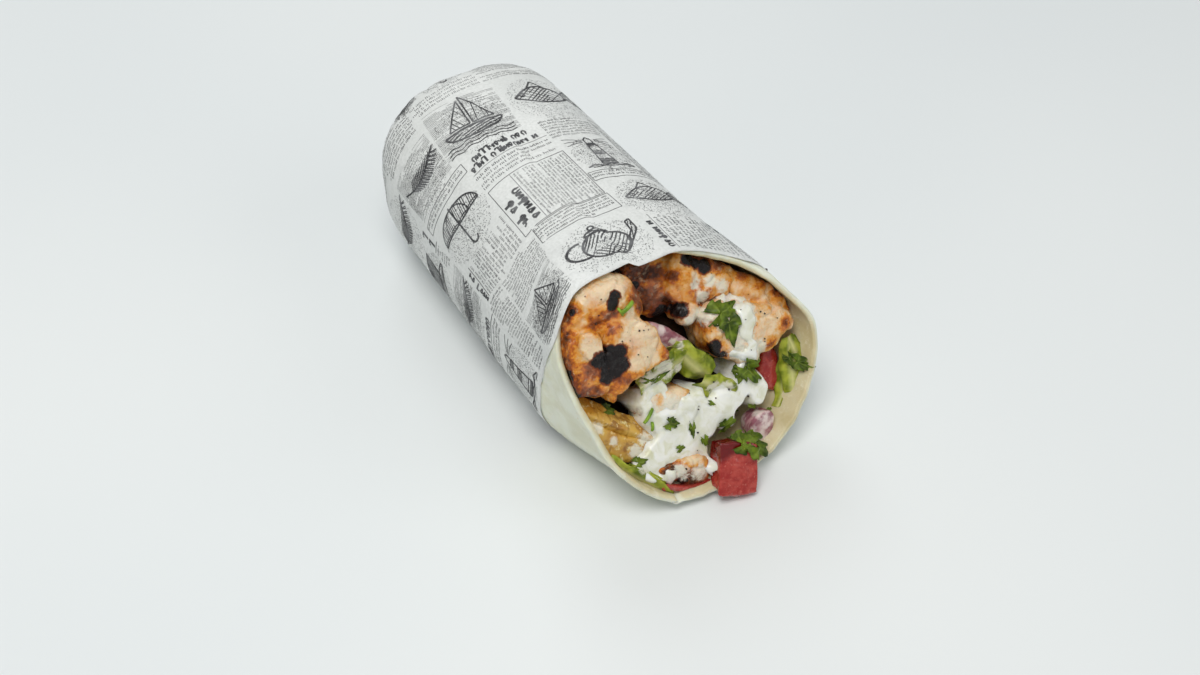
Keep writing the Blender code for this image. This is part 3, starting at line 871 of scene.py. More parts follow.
def draw_umbrella(pen):
    for start in (-0.9, -0.45, 0.0, 0.45):
        pen.line(arc((start + 0.225, 0.1), (0.225, 0.1), 0, 180, 8), 0.3)
    pen.shape(arc((0, 0.1), (0.9, 0.7), 0, 180, 22), 0.42, 0.62, 1.35, 0.22, fade=0.2)
    for lean in (-0.5, 0.0, 0.5):
        pen.line([(lean * math.sin(t), 0.1 + 0.7 * math.cos(t)) for t in np.linspace(0, 1.5, 10)], 0.3)
    pen.line(((0, 0.9), (0, -0.75)), 0.5)
    pen.line(arc((0.12, -0.75), (0.12, 0.16), 180, 360, 10), 0.5)


def draw_fish(pen):
    upper = [(x, 0.42 * math.cos(x * 1.9)) for x in np.linspace(-0.8, 0.55, 16)]
    lower = [(x, -0.36 * math.cos(x * 1.9)) for x in np.linspace(0.55, -0.8, 16)]
    pen.shape(upper + lower, 0.4, 0.6, 0.6, 0.2, fade=0.25)
    pen.hatch(upper + lower, 0.9, -0.6, 0.18, fade=0.35)
    tail = (0.55, 0.12), (0.95, 0.45), (0.84, 0.0), (0.95, -0.42), (0.55, -0.1)
    pen.shape(tail, 0.36, 0.5, 0.0, 0.22)
    pen.line(arc((-0.58, 0.08), (0.07, 0.07), 0, 360, 10), 0.34)
    pen.line(((-0.3, 0.36), (-0.05, 0.66), (0.25, 0.36)), 0.34)


def draw_key(pen):
    for half in ((0.3, 0.36), (0.17, 0.2)):
        pen.line(arc((-0.62, 0.0), half, 0, 360, 24), 0.46, closed=True)
    pen.shape(((-0.32, 0.07), (0.9, 0.07), (0.9, -0.07), (-0.32, -0.07)), 0.3, 0.4, 0.0, 0.2)
    for x in (0.5, 0.72):
        tooth = [(x + a, b) for a, b in ((0, -0.07), (0, -0.42), (0.15, -0.42), (0.15, -0.07))]
        pen.line(tooth, 0.34)
        pen.hatch(tooth, 0.5, 1.57, 0.24)


def draw_lighthouse(pen):
    pen.line(((-0.3, -0.8), (-0.16, 0.5), (0.16, 0.5), (0.3, -0.8)), 0.4, closed=True)
    for low, high in ((-0.8, -0.5), (-0.2, 0.08), (0.3, 0.5)):
        wide, narrow = (0.3 - (level + 0.8) * 0.108 for level in (low, high))
        pen.hatch([(-wide, low), (-narrow, high), (narrow, high), (wide, low)], 0.45, 0.0, 0.3, 0.05)
    pen.line(((-0.13, 0.52), (-0.13, 0.74), (0.0, 0.9), (0.13, 0.74), (0.13, 0.52)), 0.36, closed=True)
    for side in (-1, 1):
        for rise in (-0.1, 0.04, 0.18):
            pen.line(((side * 0.24, 0.64 + rise * 0.4), (side * 0.9, 0.64 + rise * 1.6)), 0.2)
    ground = [(x, -0.8 - 0.1 * abs(math.sin(5 * x))) for x in np.linspace(-0.9, 0.9, 24)]
    pen.line(ground, 0.36)
    pen.hatch(ground + [(0.9, -0.98), (-0.9, -0.98)], 0.5, 0.1, 0.22)


def draw_hat(pen):
    pen.shape(((-0.42, -0.3), (-0.5, 0.8), (0.5, 0.8), (0.42, -0.3)), 0.42, 0.5, 1.57, 0.3, fade=0.1)
    pen.shape(arc((0, -0.38), (0.92, 0.2), 0, 360, 26), 0.42, 0.5, 0.0, 0.26)


def draw_feather(pen):
    spine = [(x, 0.5 * x * x - 0.15) for x in np.linspace(-0.9, 0.8, 18)]
    pen.line(spine, 0.4)
    for x, y in spine[4:]:
        for side in (-1, 1):
            reach = 0.34 * math.cos(x * 1.4)
            pen.line(((x, y), (x + 0.2, y + side * reach)), 0.24)
            pen.line(((x + 0.04, y), (x + 0.26, y + side * reach * 0.9)), 0.18)


PICTURES = (
    draw_sailing_boat, draw_teapot, draw_umbrella, draw_fish,
    draw_key, draw_lighthouse, draw_hat, draw_feather,
)


class Layout:
    """A page of blocks: small print, headlines, frames and pictures, some turned on their side."""

    # A block this long and this short, or smaller than the last, is not cut any further.
    WHOLE_LONG, WHOLE_SHORT, WHOLE_SMALL = 40.0, 32.0, 28.0
    CUT_SHARES, MARGIN = (0.36, 0.64), 0.5
    LEAST_PICTURE, LEAST_HEADLINE = 12.0, 9.0
    HEADLINE_SIZES, PRINT_SIZES, LINE_SPACING = (2.4, 4.2), (0.8, 0.95, 1.15), 1.5
    PICTURE_WIDEST, PICTURE_TALLEST = 1.25, 0.85  # its width over its height, its height over its width

    def __init__(self, width, height, seed):
        self.rng = random.Random(seed)
        self.text, self.drawing = Ink(seed + 1), Ink(seed + 2)
        self.pictures = 0
        self.split(0.0, 0.0, width, height)

    def split(self, x, y, width, height):
        """Halves the page, unevenly, until every block has a size worth filling."""
        longer, shorter = max(width, height), min(width, height)
        if longer < self.WHOLE_SMALL or longer < self.WHOLE_LONG and shorter < self.WHOLE_SHORT:
            self.fill(x + self.MARGIN, y + self.MARGIN, width - 2 * self.MARGIN, height - 2 * self.MARGIN)
            return
        cut = longer * self.rng.uniform(*self.CUT_SHARES)
        if width > height:
            self.split(x, y, cut, height)
            self.split(x + cut, y, width - cut, height)
        else:
            self.split(x, y, width, cut)
            self.split(x, y + cut, width, height - cut)

    def fill(self, x, y, width, height):
        """Gives a block a picture, or else a column of print that is read from below or from the side."""
        if min(width, height) > self.LEAST_PICTURE and self.rng.random() < 0.72:
            self.picture(x, y, width, height)
        elif self.rng.random() < 0.5:
            self.turned(x, y, width, height)
        else:
            self.column(x, y, width, height)

    def column(self, x, y, width, height, ink=None):
        """A headline over lines of small print, with a rule or a frame now and then."""
        rng, ink = self.rng, ink or self.text
        top = y + height
        if height > self.LEAST_HEADLINE and rng.random() < 0.75:
            size = rng.uniform(*self.HEADLINE_SIZES)
            for _ in range(rng.choice((1, 2, 2))):
                top -= size * 1.2
                inset = rng.uniform(0.0, width * 0.12)
                ink.words(x + inset, x + width - inset, top, size, bold=0.30)
            top -= 0.8
            ink.line([(x, top), (x + width, top)], rng.choice((0.18, 0.35)))
            top -= 0.5
        size = rng.choice(self.PRINT_SIZES)
        while top > y + size * self.LINE_SPACING:
            top -= size * self.LINE_SPACING
            indent = rng.choice((0, 0, 0, 2.0))
            short = rng.choice((0, 0, 0, 0, width * 0.3))
            ink.words(x + indent, x + width - short, top, size, bold=rng.choice((0.2, 0.25)))
        if rng.random() < 0.2:
            left, right = x - 0.4, x + width + 0.4
            ink.line([(left, y), (right, y), (right, y + height), (left, y + height)], 0.25, closed=True)

    def turned(self, x, y, width, height):
        """A column that is read from the side."""
        part = Ink(self.rng.random())
        self.column(0.0, 0.0, height, width, part)
        for quad in part.quads:
            self.text.quads.append(tuple(np.array((x + width - q[1], y + q[0])) for q in quad))

    def picture(self, x, y, width, height):
        """A drawing that fills most of its block, with a column beside it or a caption above it."""
        rng = self.rng
        if width > self.PICTURE_WIDEST * height + 5.0:
            rest = width - self.PICTURE_WIDEST * height
            at_left = rng.random() < 0.5
            self.column(x if at_left else x + width - rest + 0.8, y, rest - 0.8, height)
            x, width = x + rest * at_left, width - rest
        elif height > self.PICTURE_TALLEST * width:
            rest = max(height - self.PICTURE_TALLEST * width, 4.5)
            self.column(x, y + height - rest + 0.4, width, rest - 0.4)
            height -= rest
        cx, cy = x + width / 2, y + height / 2
        half = np.array((width * 0.47, height * 0.48))
        lean = rng.choice((0.0, 0.0, 0.1, -0.12, 1.57 if 0.8 < width / height < 1.25 else 0.0))
        cosine, sine = math.cos(lean), math.sin(lean)

        def place(a, b):
            px, py = a * half[0], b * half[1]
            return cx + px * cosine - py * sine, cy + px * sine + py * cosine

        corners = (-1.05, -0.95), (1.05, -0.95), (1.05, 0.9), (-1.05, 0.9)
        corners = [place(a, b) for a, b in corners]
        backdrop = rng.random()
        if backdrop < 0.35:
            self.drawing.hatch(corners, 0.6, lean + 0.02, 0.12, 0.25)
        elif backdrop < 0.45:
            self.drawing.line(corners, 0.3, closed=True)
        draw = PICTURES[self.pictures % len(PICTURES)]
        self.pictures += 1
        draw(Sketch(self.drawing, place, min(half) / 6.5))
        self.drawing.stipple((cx, cy - 0.1 * height), half * 1.05, 1200, 0.22)


def print_object(name, quads, sheet, origin, lift, material):
    """Strokes laid on the paper, a hair's breadth above it."""
    flat = np.array(quads).reshape(-1, 2)
    points = sheet.at(origin[0] + flat[:, 0], origin[1] - flat[:, 1], lift)
    faces = np.arange(len(points)).reshape(-1, 4)
    # Strokes that would run over the paper's front edge are left out.
    inside = (flat[:, 1] > 0.4).reshape(-1, 4).all(1)
    return new_object(name, points, faces[inside], material)


PRINT_LIFTS = {"words": 0.05, "pictures": 0.06}
PRINT_MARGIN, PRINT_TIP_MARGIN, PRINT_PAST_LAP = 1.2, 14.0, 8.0


def make_paper():
    """The printed sheet: paper, words and pictures."""
    sheet = PaperSheet()
    paper = sheet.make(paper_finish())
    finish_piece(paper, "paper", "paper_wrap")
    first = np.interp(PAPER_LAP + PRINT_PAST_LAP, sheet.wound, sheet.across)
    last, front = sheet.across[-1] - PRINT_MARGIN, sheet.along[-1] - PRINT_MARGIN
    page = Layout(last - first, front - PRINT_TIP_MARGIN, seed=7)
    ink = ink_finish()
    for (kind, lift), part in zip(PRINT_LIFTS.items(), (page.text, page.drawing)):
        made = print_object("paper_print_" + kind, part.quads, sheet, (first, front), lift, ink)
        finish_piece(made, "paper")


# ------------------------------------------------------------------ bread


def make_bread():
    """The flatbread wound round the filling, its cut rim rounded and its lap thinning to nothing."""
    wound = np.arange(0.0, 360.0 + LAP_ANGLE + 0.01, BREAD_COLUMN_STEP)
    angle = INNER_EDGE_ANGLE - wound
    shortfall = LAP_SHORTFALL * smooth((wound - 360.0) / LAP_ANGLE * 2.0)
    rim = rim_station(angle) - shortfall
    start = np.minimum(paper_edge(angle), rim) - BREAD_UNDER_PAPER
    hidden = np.linspace(0.0, 1.0, HIDDEN_ROWS, endpoint=False)[:, None]
    shown = np.linspace(0.0, RIM_SHARE, SHOWN_ROWS, endpoint=False)
    shown = np.concatenate((shown, np.linspace(RIM_SHARE, 1.0, RIM_ROWS)))[:, None]
    station = np.concatenate((mix(SHOULDER_STATION, start, hidden), mix(start, rim, shown)))
    sunk = np.where(wound < LAP_ANGLE, lap_cover(station, wound), 0.0) * (BREAD + BREAD_LAP_GAP)
    base = BREAD_INSET + sunk + smooth((paper_edge(angle) - 2.0 - station) / 5.0)
    edge = np.minimum(rim - station, np.minimum(wound, wound[-1] - wound) * 0.6)
    full = np.sqrt(1.0 - (1.0 - np.clip(edge / EDGE_ROUNDING, 0.0, 1.0)) ** 2)
    hollow = (1.0 - full) * BREAD / 2
    taper = smooth((wound - 352.0) / 8.0) * (1.0 - lap_cover(station, wound - 360.0))
    outer = roll_point(station, angle[None, :], base + hollow * (1.0 - taper) - taper * 0.1)
    inner = roll_point(station, angle[None, :], base + (BREAD - hollow) * (1.0 - taper) + taper * 0.25)
    normal = grid_normals(outer)
    push = 0.30 * noise_at(outer, 13.0, 5.0) + 0.10 * noise_at(outer, 4.5, 9.0) - 0.1
    thin = 0.25 * noise_at(outer, 9.0, 31.0)
    outer += normal * push[..., None]
    inner += normal * (push + thin * full)[..., None]
    bread = slab("rolled_bread", outer, inner, bread_finish())
    x, y, z = (coordinates(bread) - (AXIS_X, 0.0, BODY_CENTRE)).T
    depth = np.hypot(*skin(-y, np.degrees(np.arctan2(z, x)), 1.0, 1.0)) - np.hypot(z, x)
    # Marks the inner face, which the finish paints warmer and darker: crumb tone plus painted shade.
    paint(bread, "inside", smooth((depth - 1.2) / 1.0))
    return finish_piece(bread, "flatbread", "flatbread")


# ------------------------------------------------------------------ core


def make_core():
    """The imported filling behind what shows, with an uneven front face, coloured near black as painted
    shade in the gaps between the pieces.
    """
    angle = np.arange(0.0, 360.0, 3.0)[None, :]
    share = np.linspace(0.0, 1.0, 34)[:, None]
    station = mix(SHOULDER_STATION - 12.0, mouth_station(angle, CORE_DEPTH), share)
    past_lap = smooth(((INNER_EDGE_ANGLE - angle) % 360.0 - LAP_ANGLE) / CORE_LAP_FADE)
    side = roll_point(station, angle, CORE_INSET + CORE_LAP_INSET * (1.0 - past_lap))
    centre = side[-1].mean(0)
    shrink = np.linspace(1.0, 0.0, 24)[1:, None, None]
    cap = centre + (side[-1] - centre)[None] * shrink
    back = side[0].mean(0)
    end = back + (side[0] - back)[None] * np.linspace(0.0, 1.0, 10)[:-1, None, None]
    points = np.concatenate((end, side, cap))
    faces = grid_faces(*points.shape[:2], ring=True)
    made = outward(new_object("filling_in_painted_shade", points.reshape(-1, 3), faces, filling_shade_finish()))
    flat = coordinates(made)
    lumps = 1.1 * noise_at(flat, 7.0, 2.0) + 0.5 * noise_at(flat, 3.0, 8.0)
    set_coordinates(made, flat + normals(made) * (lumps - 1.2)[:, None])
    return finish_piece(made, "filling", "filling_core")


# ------------------------------------------------------------------ chunks in the mouth


def mound(outline, low, high, cap, power, tilt, lumps, seed):
    """Points and faces of a chunk with the given outline (u, v), reaching from low to high (w).

    Its walls stand upright; over the last cap millimetres they round off into a top that is the
    flatter the higher the power, and slopes by tilt.
    """
    edge = closed_curve(outline, 8)
    centre = edge.mean(0)
    turns = np.linspace(0.0, math.pi / 2, 9)
    walls = [(0.86, low), (0.95, mix(low, high - cap, 0.5))]
    bend = 2 / power
    caps = [(math.cos(t) ** bend, high - cap + cap * math.sin(t) ** bend) for t in turns[:-1]]
    rings = []
    for scale, w in walls + caps:
        flat = centre + (edge - centre) * scale
        lift = smooth((w - low) / (high - low)) * ((flat - centre) @ tilt)
        rings.append(np.column_stack((flat, w + lift)))
    points = np.concatenate(rings)
    push = noise_at(points, 5.0, seed + 3.0) * lumps + noise_at(points, 2.4, seed + 9.0) * lumps * 0.45
    spoke = points - (*centre, mix(low, high, 0.4))
    points = points + spoke / np.linalg.norm(spoke, axis=1, keepdims=True) * push[:, None]
    count = len(edge)
    faces = grid_faces(len(rings), count, ring=True)
    faces.append(list(range(count))[::-1])
    top = len(points)
    start = (len(rings) - 1) * count
    faces += [[start + j, start + (j + 1) % count, top] for j in range(count)]
    return np.concatenate((points, [(*centre, high)])), faces


def block(centre, half, turn, roundness, lumps, seed, cuts):
    """Points and faces of a rounded, uneven block, in the mouth's coordinates."""
    bm = bmesh.new()
    bmesh.ops.create_cube(bm, size=2.0)
    bmesh.ops.subdivide_edges(bm, edges=bm.edges, cuts=cuts, use_grid_fill=True)
    rotation = Euler([math.radians(a) for a in turn]).to_matrix()
    points = []
    for vert in bm.verts:
        ball = vert.co.normalized() * 1.2
        point = vert.co.lerp(ball, roundness)
        push = noise.noise(point * 1.5 + Vector((seed, 2.0 * seed, 5.0)))
        point += vert.co.normalized() * lumps * push
        points.append(rotation @ (point * Vector(half)) + Vector(centre))
    faces = [[vert.index for vert in face.verts] for face in bm.faces]
    bm.free()
    return np.array(points), faces


def fused(name, blocks, material, voxel, softening):
    """Blocks melted into one closed skin, then softened."""
    points, faces = joined(blocks)
    obj = new_object(name, to_world(points), faces, material)
    modify(obj, "REMESH", mode="VOXEL", voxel_size=voxel * MM)
    modify(obj, "SMOOTH", factor=0.5, iterations=softening)
    return baked(obj)


def keep_inside_bread(obj):
    """Presses a piece's skin in where it would pass through the bread; beyond the mouth it is free."""
    points = coordinates(obj)
    x, z = points[:, 0] - AXIS_X, points[:, 2] - BODY_CENTRE
    angle, reach = np.degrees(np.arctan2(z, x)) % 360.0, np.hypot(x, z)
    station = -points[:, 1]
    limit = bread_inside_reach(station, angle) - BREAD_CLEARANCE
    past = smooth((station - mouth_station(angle) - 0.5) / 4.0)
    scale = np.where(reach > limit, mix(limit / reach, 1.0, past), 1.0)
    points[:, 0] = AXIS_X + x * scale
    points[:, 2] = np.maximum(BODY_CENTRE + z * scale, FLOOR_CLEARANCE)
    set_coordinates(obj, points)


def roughen(obj, coarse, fibre, grain, seed, crease=0.0):
    """Uneven relief: soft lumps, drawn-out fibres, fine grain and folded-in creases."""
    points = coordinates(obj)
    stretched = to_mouth(points) * (1.0, 0.25, 0.5)
    push = coarse * noise_at(points, 6.5, seed) + fibre * noise_at(stretched, 1.7, seed + 4.0)
    push += grain * noise_at(points, 1.5, seed + 9.0)
    bent = points + 1.2 * noise_at(points, 3.0, seed + 21.0)[:, None]
    push -= crease * np.clip(1.0 - 2.0 * np.abs(noise_at(bent, 11.0, seed + 14.0)), 0.0, 1.0) ** 5
    set_coordinates(obj, points + normals(obj) * push[:, None])


def spots(points, places, seed, ragged):
    """How strongly each point is covered by the given spots (u, v, w, radius), from 0 to 1."""
    total = np.zeros(len(points))
    wobble = ragged * cloud_at(points, 4.0, 3, seed)
    for u, v, w, radius in places:
        away = np.linalg.norm((points - (u, v, w)) * (1.0, 1.0, 0.5), axis=1) / radius
        total = np.maximum(total, np.clip(1.5 - away + wobble, 0.0, 1.0))
    return total


FILM = (
    # u, v, radius
    (14, -25, 3), (20, -27, 5), (28, -29, 4), (25, -35, 4), (22, -40, 4), (30, -42, 3), (16, -20, 2.5),
    (10.5, -25.5, 2.2), (15, -15, 2), (24, -19, 3), (20, -16, 2.5), (-4, -36, 4), (-9, -38.5, 5),
    (2, -38, 2), (11, -48, 2), (-5, -48, 4), (-13, -45, 4), (-11, -54, 4), (-14, -58, 3), (-19, -62, 3),
    (43, -60, 2), (-2, -72, 3), (-8, -69, 3), (-26.5, -51.5, 1.6), (-20, -58, 2.8), (4, -31, 1.5),
    (15, -50, 2.5), (-16, -55, 2.5), (-31, -45, 2.5),
)


def smear(obj):
    """Paints how thickly a film of sauce covers each point, from 0 to 1."""
    flat = to_mouth(coordinates(obj)) * (1.0, 1.0, 0.0)
    paint(obj, "film", spots(flat, [(u, v, 0.0, radius) for u, v, radius in FILM], 3.0, 0.4))


CHICKEN = {
    # Each chunk: outline (u, v), low, high (w), cap, power, tilt. Spots: u, v, w, radius.
    "chicken_left": {
        "base": 0.42,
        "pale": (
            (-24, -4, 2, 5), (-15, -2.5, 3, 5), (-28, -8, 3, 2.6), (-14, -19, 4, 6), (-11, -26, 3, 5),
            (-17, -27, 4, 3.4), (-29, -15, 4, 3), (-29.5, -18.4, 4, 2.6), (-19, -18, 4, 3),
            (-13, -12, 2, 2),
        ),
        "chunks": (
            (((-34, -5.5), (-30.3, -2.3), (-27, -0.6), (-21.3, 1), (-14.8, 1.2), (-10.2, -1.7),
              (-7.3, -6), (-6.8, -11), (-6.6, -15), (-9.5, -17.8), (-16, -17.2), (-25, -16.2),
              (-31, -15), (-36, -12)),
             -22, 3.2, 7, 2.3, (0.05, 0.1)),
            (((-21.5, -13), (-15.6, -13.4), (-9.9, -15.4), (-6.2, -19.2), (-5, -24.8), (-3, -30.7),
              (-8, -32.2), (-17.5, -33), (-21.5, -35), (-24.4, -34.8), (-24.8, -24), (-23.6, -16)),
             -22, 3.6, 3, 5, (0, 0.04)),
            (((-36.5, -13.5), (-31, -12.2), (-26.6, -12.8), (-25.2, -20), (-24.6, -31), (-27.5, -34.2),
              (-33, -32.6), (-37.5, -30), (-39, -22)),
             -22, 3.6, 4.5, 3, (0.16, 0)),
            (((-31.8, -11.8), (-26.2, -12.8), (-25.6, -17.6), (-26.4, -20.2), (-30.8, -20),
              (-32.8, -16)),
             -4, 5.6, 1.6, 4, (0.06, -0.04)),
            (((-27.4, -32), (-22.4, -32), (-23.2, -35.6), (-24.8, -38), (-26.2, -35.6)),
             -8, 1.4, 2, 2, (0, 0.1)),
        ),
        "browning_and_shade": (
            (-23.5, -8.8, 3, 4.2), (-19.5, -9.6, 3, 3), (-9, -7, 0, 4), (-8.5, -13, -1, 3),
            (-20, -15.5, 2, 3), (-31, -6, 1, 3.4), (-36.5, -12, -3, 4.5), (-38, -20, -3, 5),
            (-37, -28, -3, 5.5), (-29.5, -24, 4, 4.4), (-21, -30, 4, 4), (-18.5, -23, 5, 3.2),
            (-4.6, -27, 0, 3.2), (-4, -31, -2, 3.5), (-10, -33.5, -2, 2.4), (-31, -31, 2, 3),
        ),
        "char": (
            (-16.8, -5, 3.2, 1.8), (-18, -7.4, 3.4, 2.1), (-30.8, -5, 1.5, 1.3), (-27.5, -21.6, 4, 2.8),
            (-23.6, -21.6, 4, 2.9), (-20.6, -22, 4, 2.6), (-20.2, -26, 4, 2.6), (-23.6, -26.4, 4, 3.4),
            (-26, -27.4, 4, 2.6), (-24.6, -24, 4, 3), (-39.5, -24, -4, 4), (-38, -31, -3, 3.6),
        ),
    },
    "chicken_top": {
        "base": 0.46,
        "pale": ((10, -25.5, -5, 3.4), (15, -12, -4, 1.6), (20, -15, -5, 1.8), (5, -4, -9, 1.6)),
        "chunks": (
            (((-12, -1.5), (-5.8, -0.3), (0.4, -0.6), (8, -1.2), (12, -4), (10.6, -9.3), (9, -15.2),
              (8.6, -20.4), (6, -22.8), (2.3, -22.9), (-1.9, -20.8), (-4.2, -16), (-6.6, -10.7),
              (-10, -6)),
             -26, -9, 7, 2.4, (0.05, 0)),
            (((8.6, -5.3), (12.6, -2.6), (16, -4.6), (17.7, -8.6), (16.6, -12.5), (15.2, -17),
              (15.4, -20.8), (13.4, -22.9), (9.3, -21.4), (6.7, -17.9), (6.5, -13.8), (7.3, -9)),
             -24, -4.6, 5, 2.4, (0.05, 0.05)),
            (((15, -4.6), (20.4, -7.6), (25.2, -10.6), (29, -13.4), (31.2, -17.3), (31, -21.6),
              (27.7, -24.8), (22.9, -24.2), (17.4, -22.8), (14, -20.6), (14, -15.5), (14.8, -9)),
             -24, -5, 5, 2.6, (-0.05, 0)),
            (((6.2, -22.4), (7.6, -26.4), (10.7, -27.6), (14, -26.4), (17.4, -23.8), (14.7, -20.4),
              (9.4, -20.4)),
             -15, -5.6, 3, 2.6, (0, 0)),
        ),
        "browning_and_shade": (
            # The first four spots darken the left lobe, the face turned from the light: painted shade on
            # top of its browning.
            (-5, -5, -9, 6), (3, -7, -9, 4), (-1, -14, -10, 5), (4, -19, -10, 4), (19, -8, -6, 3.5),
            (25, -12, -7, 3.5), (17, -22, -6, 2.5), (8.6, -10, -6, 2),
        ),
        "char": (
            (14.6, -6.4, -5, 2.4), (16.6, -8.8, -5, 1.8), (19.6, -10.6, -6, 2.4),
            (3.6, -21.5, -9.5, 3.2), (-3.5, -9, -9.5, 1.6), (8.4, -21.6, -8, 2.4), (-10, -3, -10, 4),
        ),
    },
    "chicken_right": {
        "base": 0.23,
        "pale": ((22, -30, 0, 6), (24, -42, 0, 5), (34, -37, 0, 3.5)),
        "chunks": (
            (((28, -15), (33, -18.2), (38, -21.6), (42, -25.3), (45, -29), (46.6, -33), (47, -37.6),
              (42, -34.8), (36, -30.8), (31, -27), (27.3, -22.1)),
             -22, -5.2, 4, 2.6, (-0.05, -0.05)),
            (((12.6, -25.5), (15, -23.8), (19.3, -22.4), (25.3, -24.4), (30, -27.5), (31.6, -35),
              (31, -43), (30.5, -46.9), (27.3, -48.1), (24.3, -46.1), (20.1, -43), (16.5, -40.8),
              (13.6, -37.6), (12.7, -33.1)),
             -22, -0.6, 5, 2.8, (0.05, 0.06)),
            (((28, -25.6), (33, -28.4), (38.8, -31.1), (44.3, -35), (46.2, -38.9), (44.8, -41.4),
              (41.1, -42), (37.8, -44.2), (33.9, -45.4), (30, -44), (28, -35)),
             -22, -1.6, 4, 3.6, (-0.1, 0.05)),
        ),
        "browning_and_shade": (
            (33, -18.6, -6, 3), (38, -23, -6, 3), (43, -29, -7, 3), (46, -35, -7, 2.5),
            (14, -28, -3, 3), (14, -36, -3, 3.5), (18, -42, -3, 3), (41, -38, -3, 2.4),
            (34, -42, -3, 2.2),
        ),
        "char": (
            (14.6, -35.4, -2, 1.9), (14.4, -38, -2.5, 1.8), (16.4, -39.4, -2, 1.5),
            (43.5, -27.5, -6, 1.2), (46.4, -33.5, -7, 1.1), (34, -17.2, -6, 1.4),
        ),
    },
    "chicken_middle": {
        "base": 0.26,
        "pale": ((-5, -48, 0, 5), (-2, -47, 0, 3)),
        "chunks": (
            (((-15.1, -43.4), (-9.3, -41.6), (-3.3, -42.8), (2.9, -45.4), (6, -49.7), (5.8, -53.9),
              (3, -56.8), (-0.4, -57.9), (-6.8, -55), (-12, -51.6), (-16, -47)),
             -20, -2.2, 4, 3.2, (0.04, 0.04)),
        ),
        "browning_and_shade": ((-2, -56, -4, 4), (-14, -46, -5, 4), (5, -53, -5, 3)),
        "char": (),
    },
    "chicken_low": {
        "base": 0.42,
        "pale": ((-2, -69, 0, 3),),
        "chunks": (
            (((-14.4, -66), (-9.9, -65.6), (-3.3, -66.4), (0.9, -67), (3.6, -71.2), (1.6, -76.6),
              (-3.5, -76.6), (-9.7, -72.6), (-14.2, -69.2)),
             -10, -0.4, 4, 3, (0, 0.12)),
        ),
        "browning_and_shade": ((-3, -74, 0, 6), (3, -73, 0, 3), (-11, -69, -1, 5)),
        "char": ((-8, -73, -1, 1.6), (-12.5, -69, -2, 1.4)),
    },
}


def make_chicken(material):
    """Grilled chicken: chunks melted together, roughened and painted with browning and char; on
    chicken_top the browning also holds painted shade.
    """
    made = []
    for number, (node, plan) in enumerate(CHICKEN.items()):
        chunks = []
        for k, (outline, low, high, cap, power, tilt) in enumerate(plan["chunks"]):
            lumps = 0.9 if power < 3.0 else 0.5
            chunks.append(mound(outline, low, high, cap, power, tilt, lumps, 17.0 * number + 5.0 * k))
        obj = fused("grilled_" + node, chunks, material, voxel=0.55, softening=1)
        roughen(obj, 0.45, 0.34, 0.24, number * 13.0, crease=0.8)
        keep_inside_bread(obj)
        places = to_mouth(coordinates(obj))
        browning_and_shade = plan["base"] + 0.5 * spots(places, plan["browning_and_shade"], number, 0.6)
        browning_and_shade -= (0.1 + plan["base"]) * spots(places, plan["pale"], number + 2.0, 0.6)
        paint(obj, "browning_and_shade", np.clip(browning_and_shade + 0.25 * cloud_at(places, 7.0, 2, number + 40.0), 0.0, 1.0))
        paint(obj, "char", spots(places, plan["char"], number + 5.0, 0.5))
        smear(obj)
        made.append(finish_piece(obj, "chicken", node))
    return made


SMALL_PIECES = {
    # slot, outline (u, v), low, high (w), cap, power, tilt, lumps
    "fry_lower": (
        "potato",
        ((-34, -41), (-29, -45), (-22, -51.6), (-14.6, -56.6), (-14.8, -62.6), (-20.9, -61.6),
         (-26.9, -58.2), (-32.4, -51.4)),
        -14, -4, 1.8, 4, (0, 0.1), 0.4,
    ),
    "tomato_right": (
        "tomato",
        ((36, -45.6), (39.4, -48.6), (38.4, -55.6), (36, -61.4), (32.8, -58.6), (31.4, -52.4)),
        -16, -8, 2, 4, (0, 0), 0.3,
    ),
    "tomato_strip": (
        "tomato",
        ((-15.2, -70.8), (-10, -73.2), (-3, -77), (1.6, -79), (1, -80.6), (-4, -79.4), (-11, -76),
         (-15.6, -72.8)),
        -4.4, -1.4, 1.2, 3, (0, 0.3), 0.2,
    ),
    "onion_centre": (
        "onion",
        ((-2, -22.1), (1.8, -24.2), (5.9, -28.2), (10, -33.2), (5.9, -35.2), (1.5, -34.8),
         (-0.9, -30.5), (-2.8, -26)),
        -15, -8.2, 2.6, 3, (0.05, 0.05), 0.4,
    ),
    "onion_right": (
        "onion",
        ((21.4, -64.4), (27.6, -63), (29.8, -66.2), (28.2, -71.6), (24.4, -75), (20.2, -72.3)),
        -10, -2.6, 1.4, 5, (0, 0.25), 0.25,
    ),
}
SMALL_BLOCKS = {
    # slot, centre (u, v, w), half sizes, turn, roundness, lumps, seed, cuts
    "tomato_front": ("tomato", (9.4, -74.6, 1.2), (6.8, 8.4, 4), (-6, -8, -20), 0.12, 0.14, 3.0, 8),
    "fry_upper": ("potato", (-24.5, -46.9, -7.8), (16.6, 3.4, 3.4), (42, 3, -41), 0.1, 0.12, 6.0, 12),
}


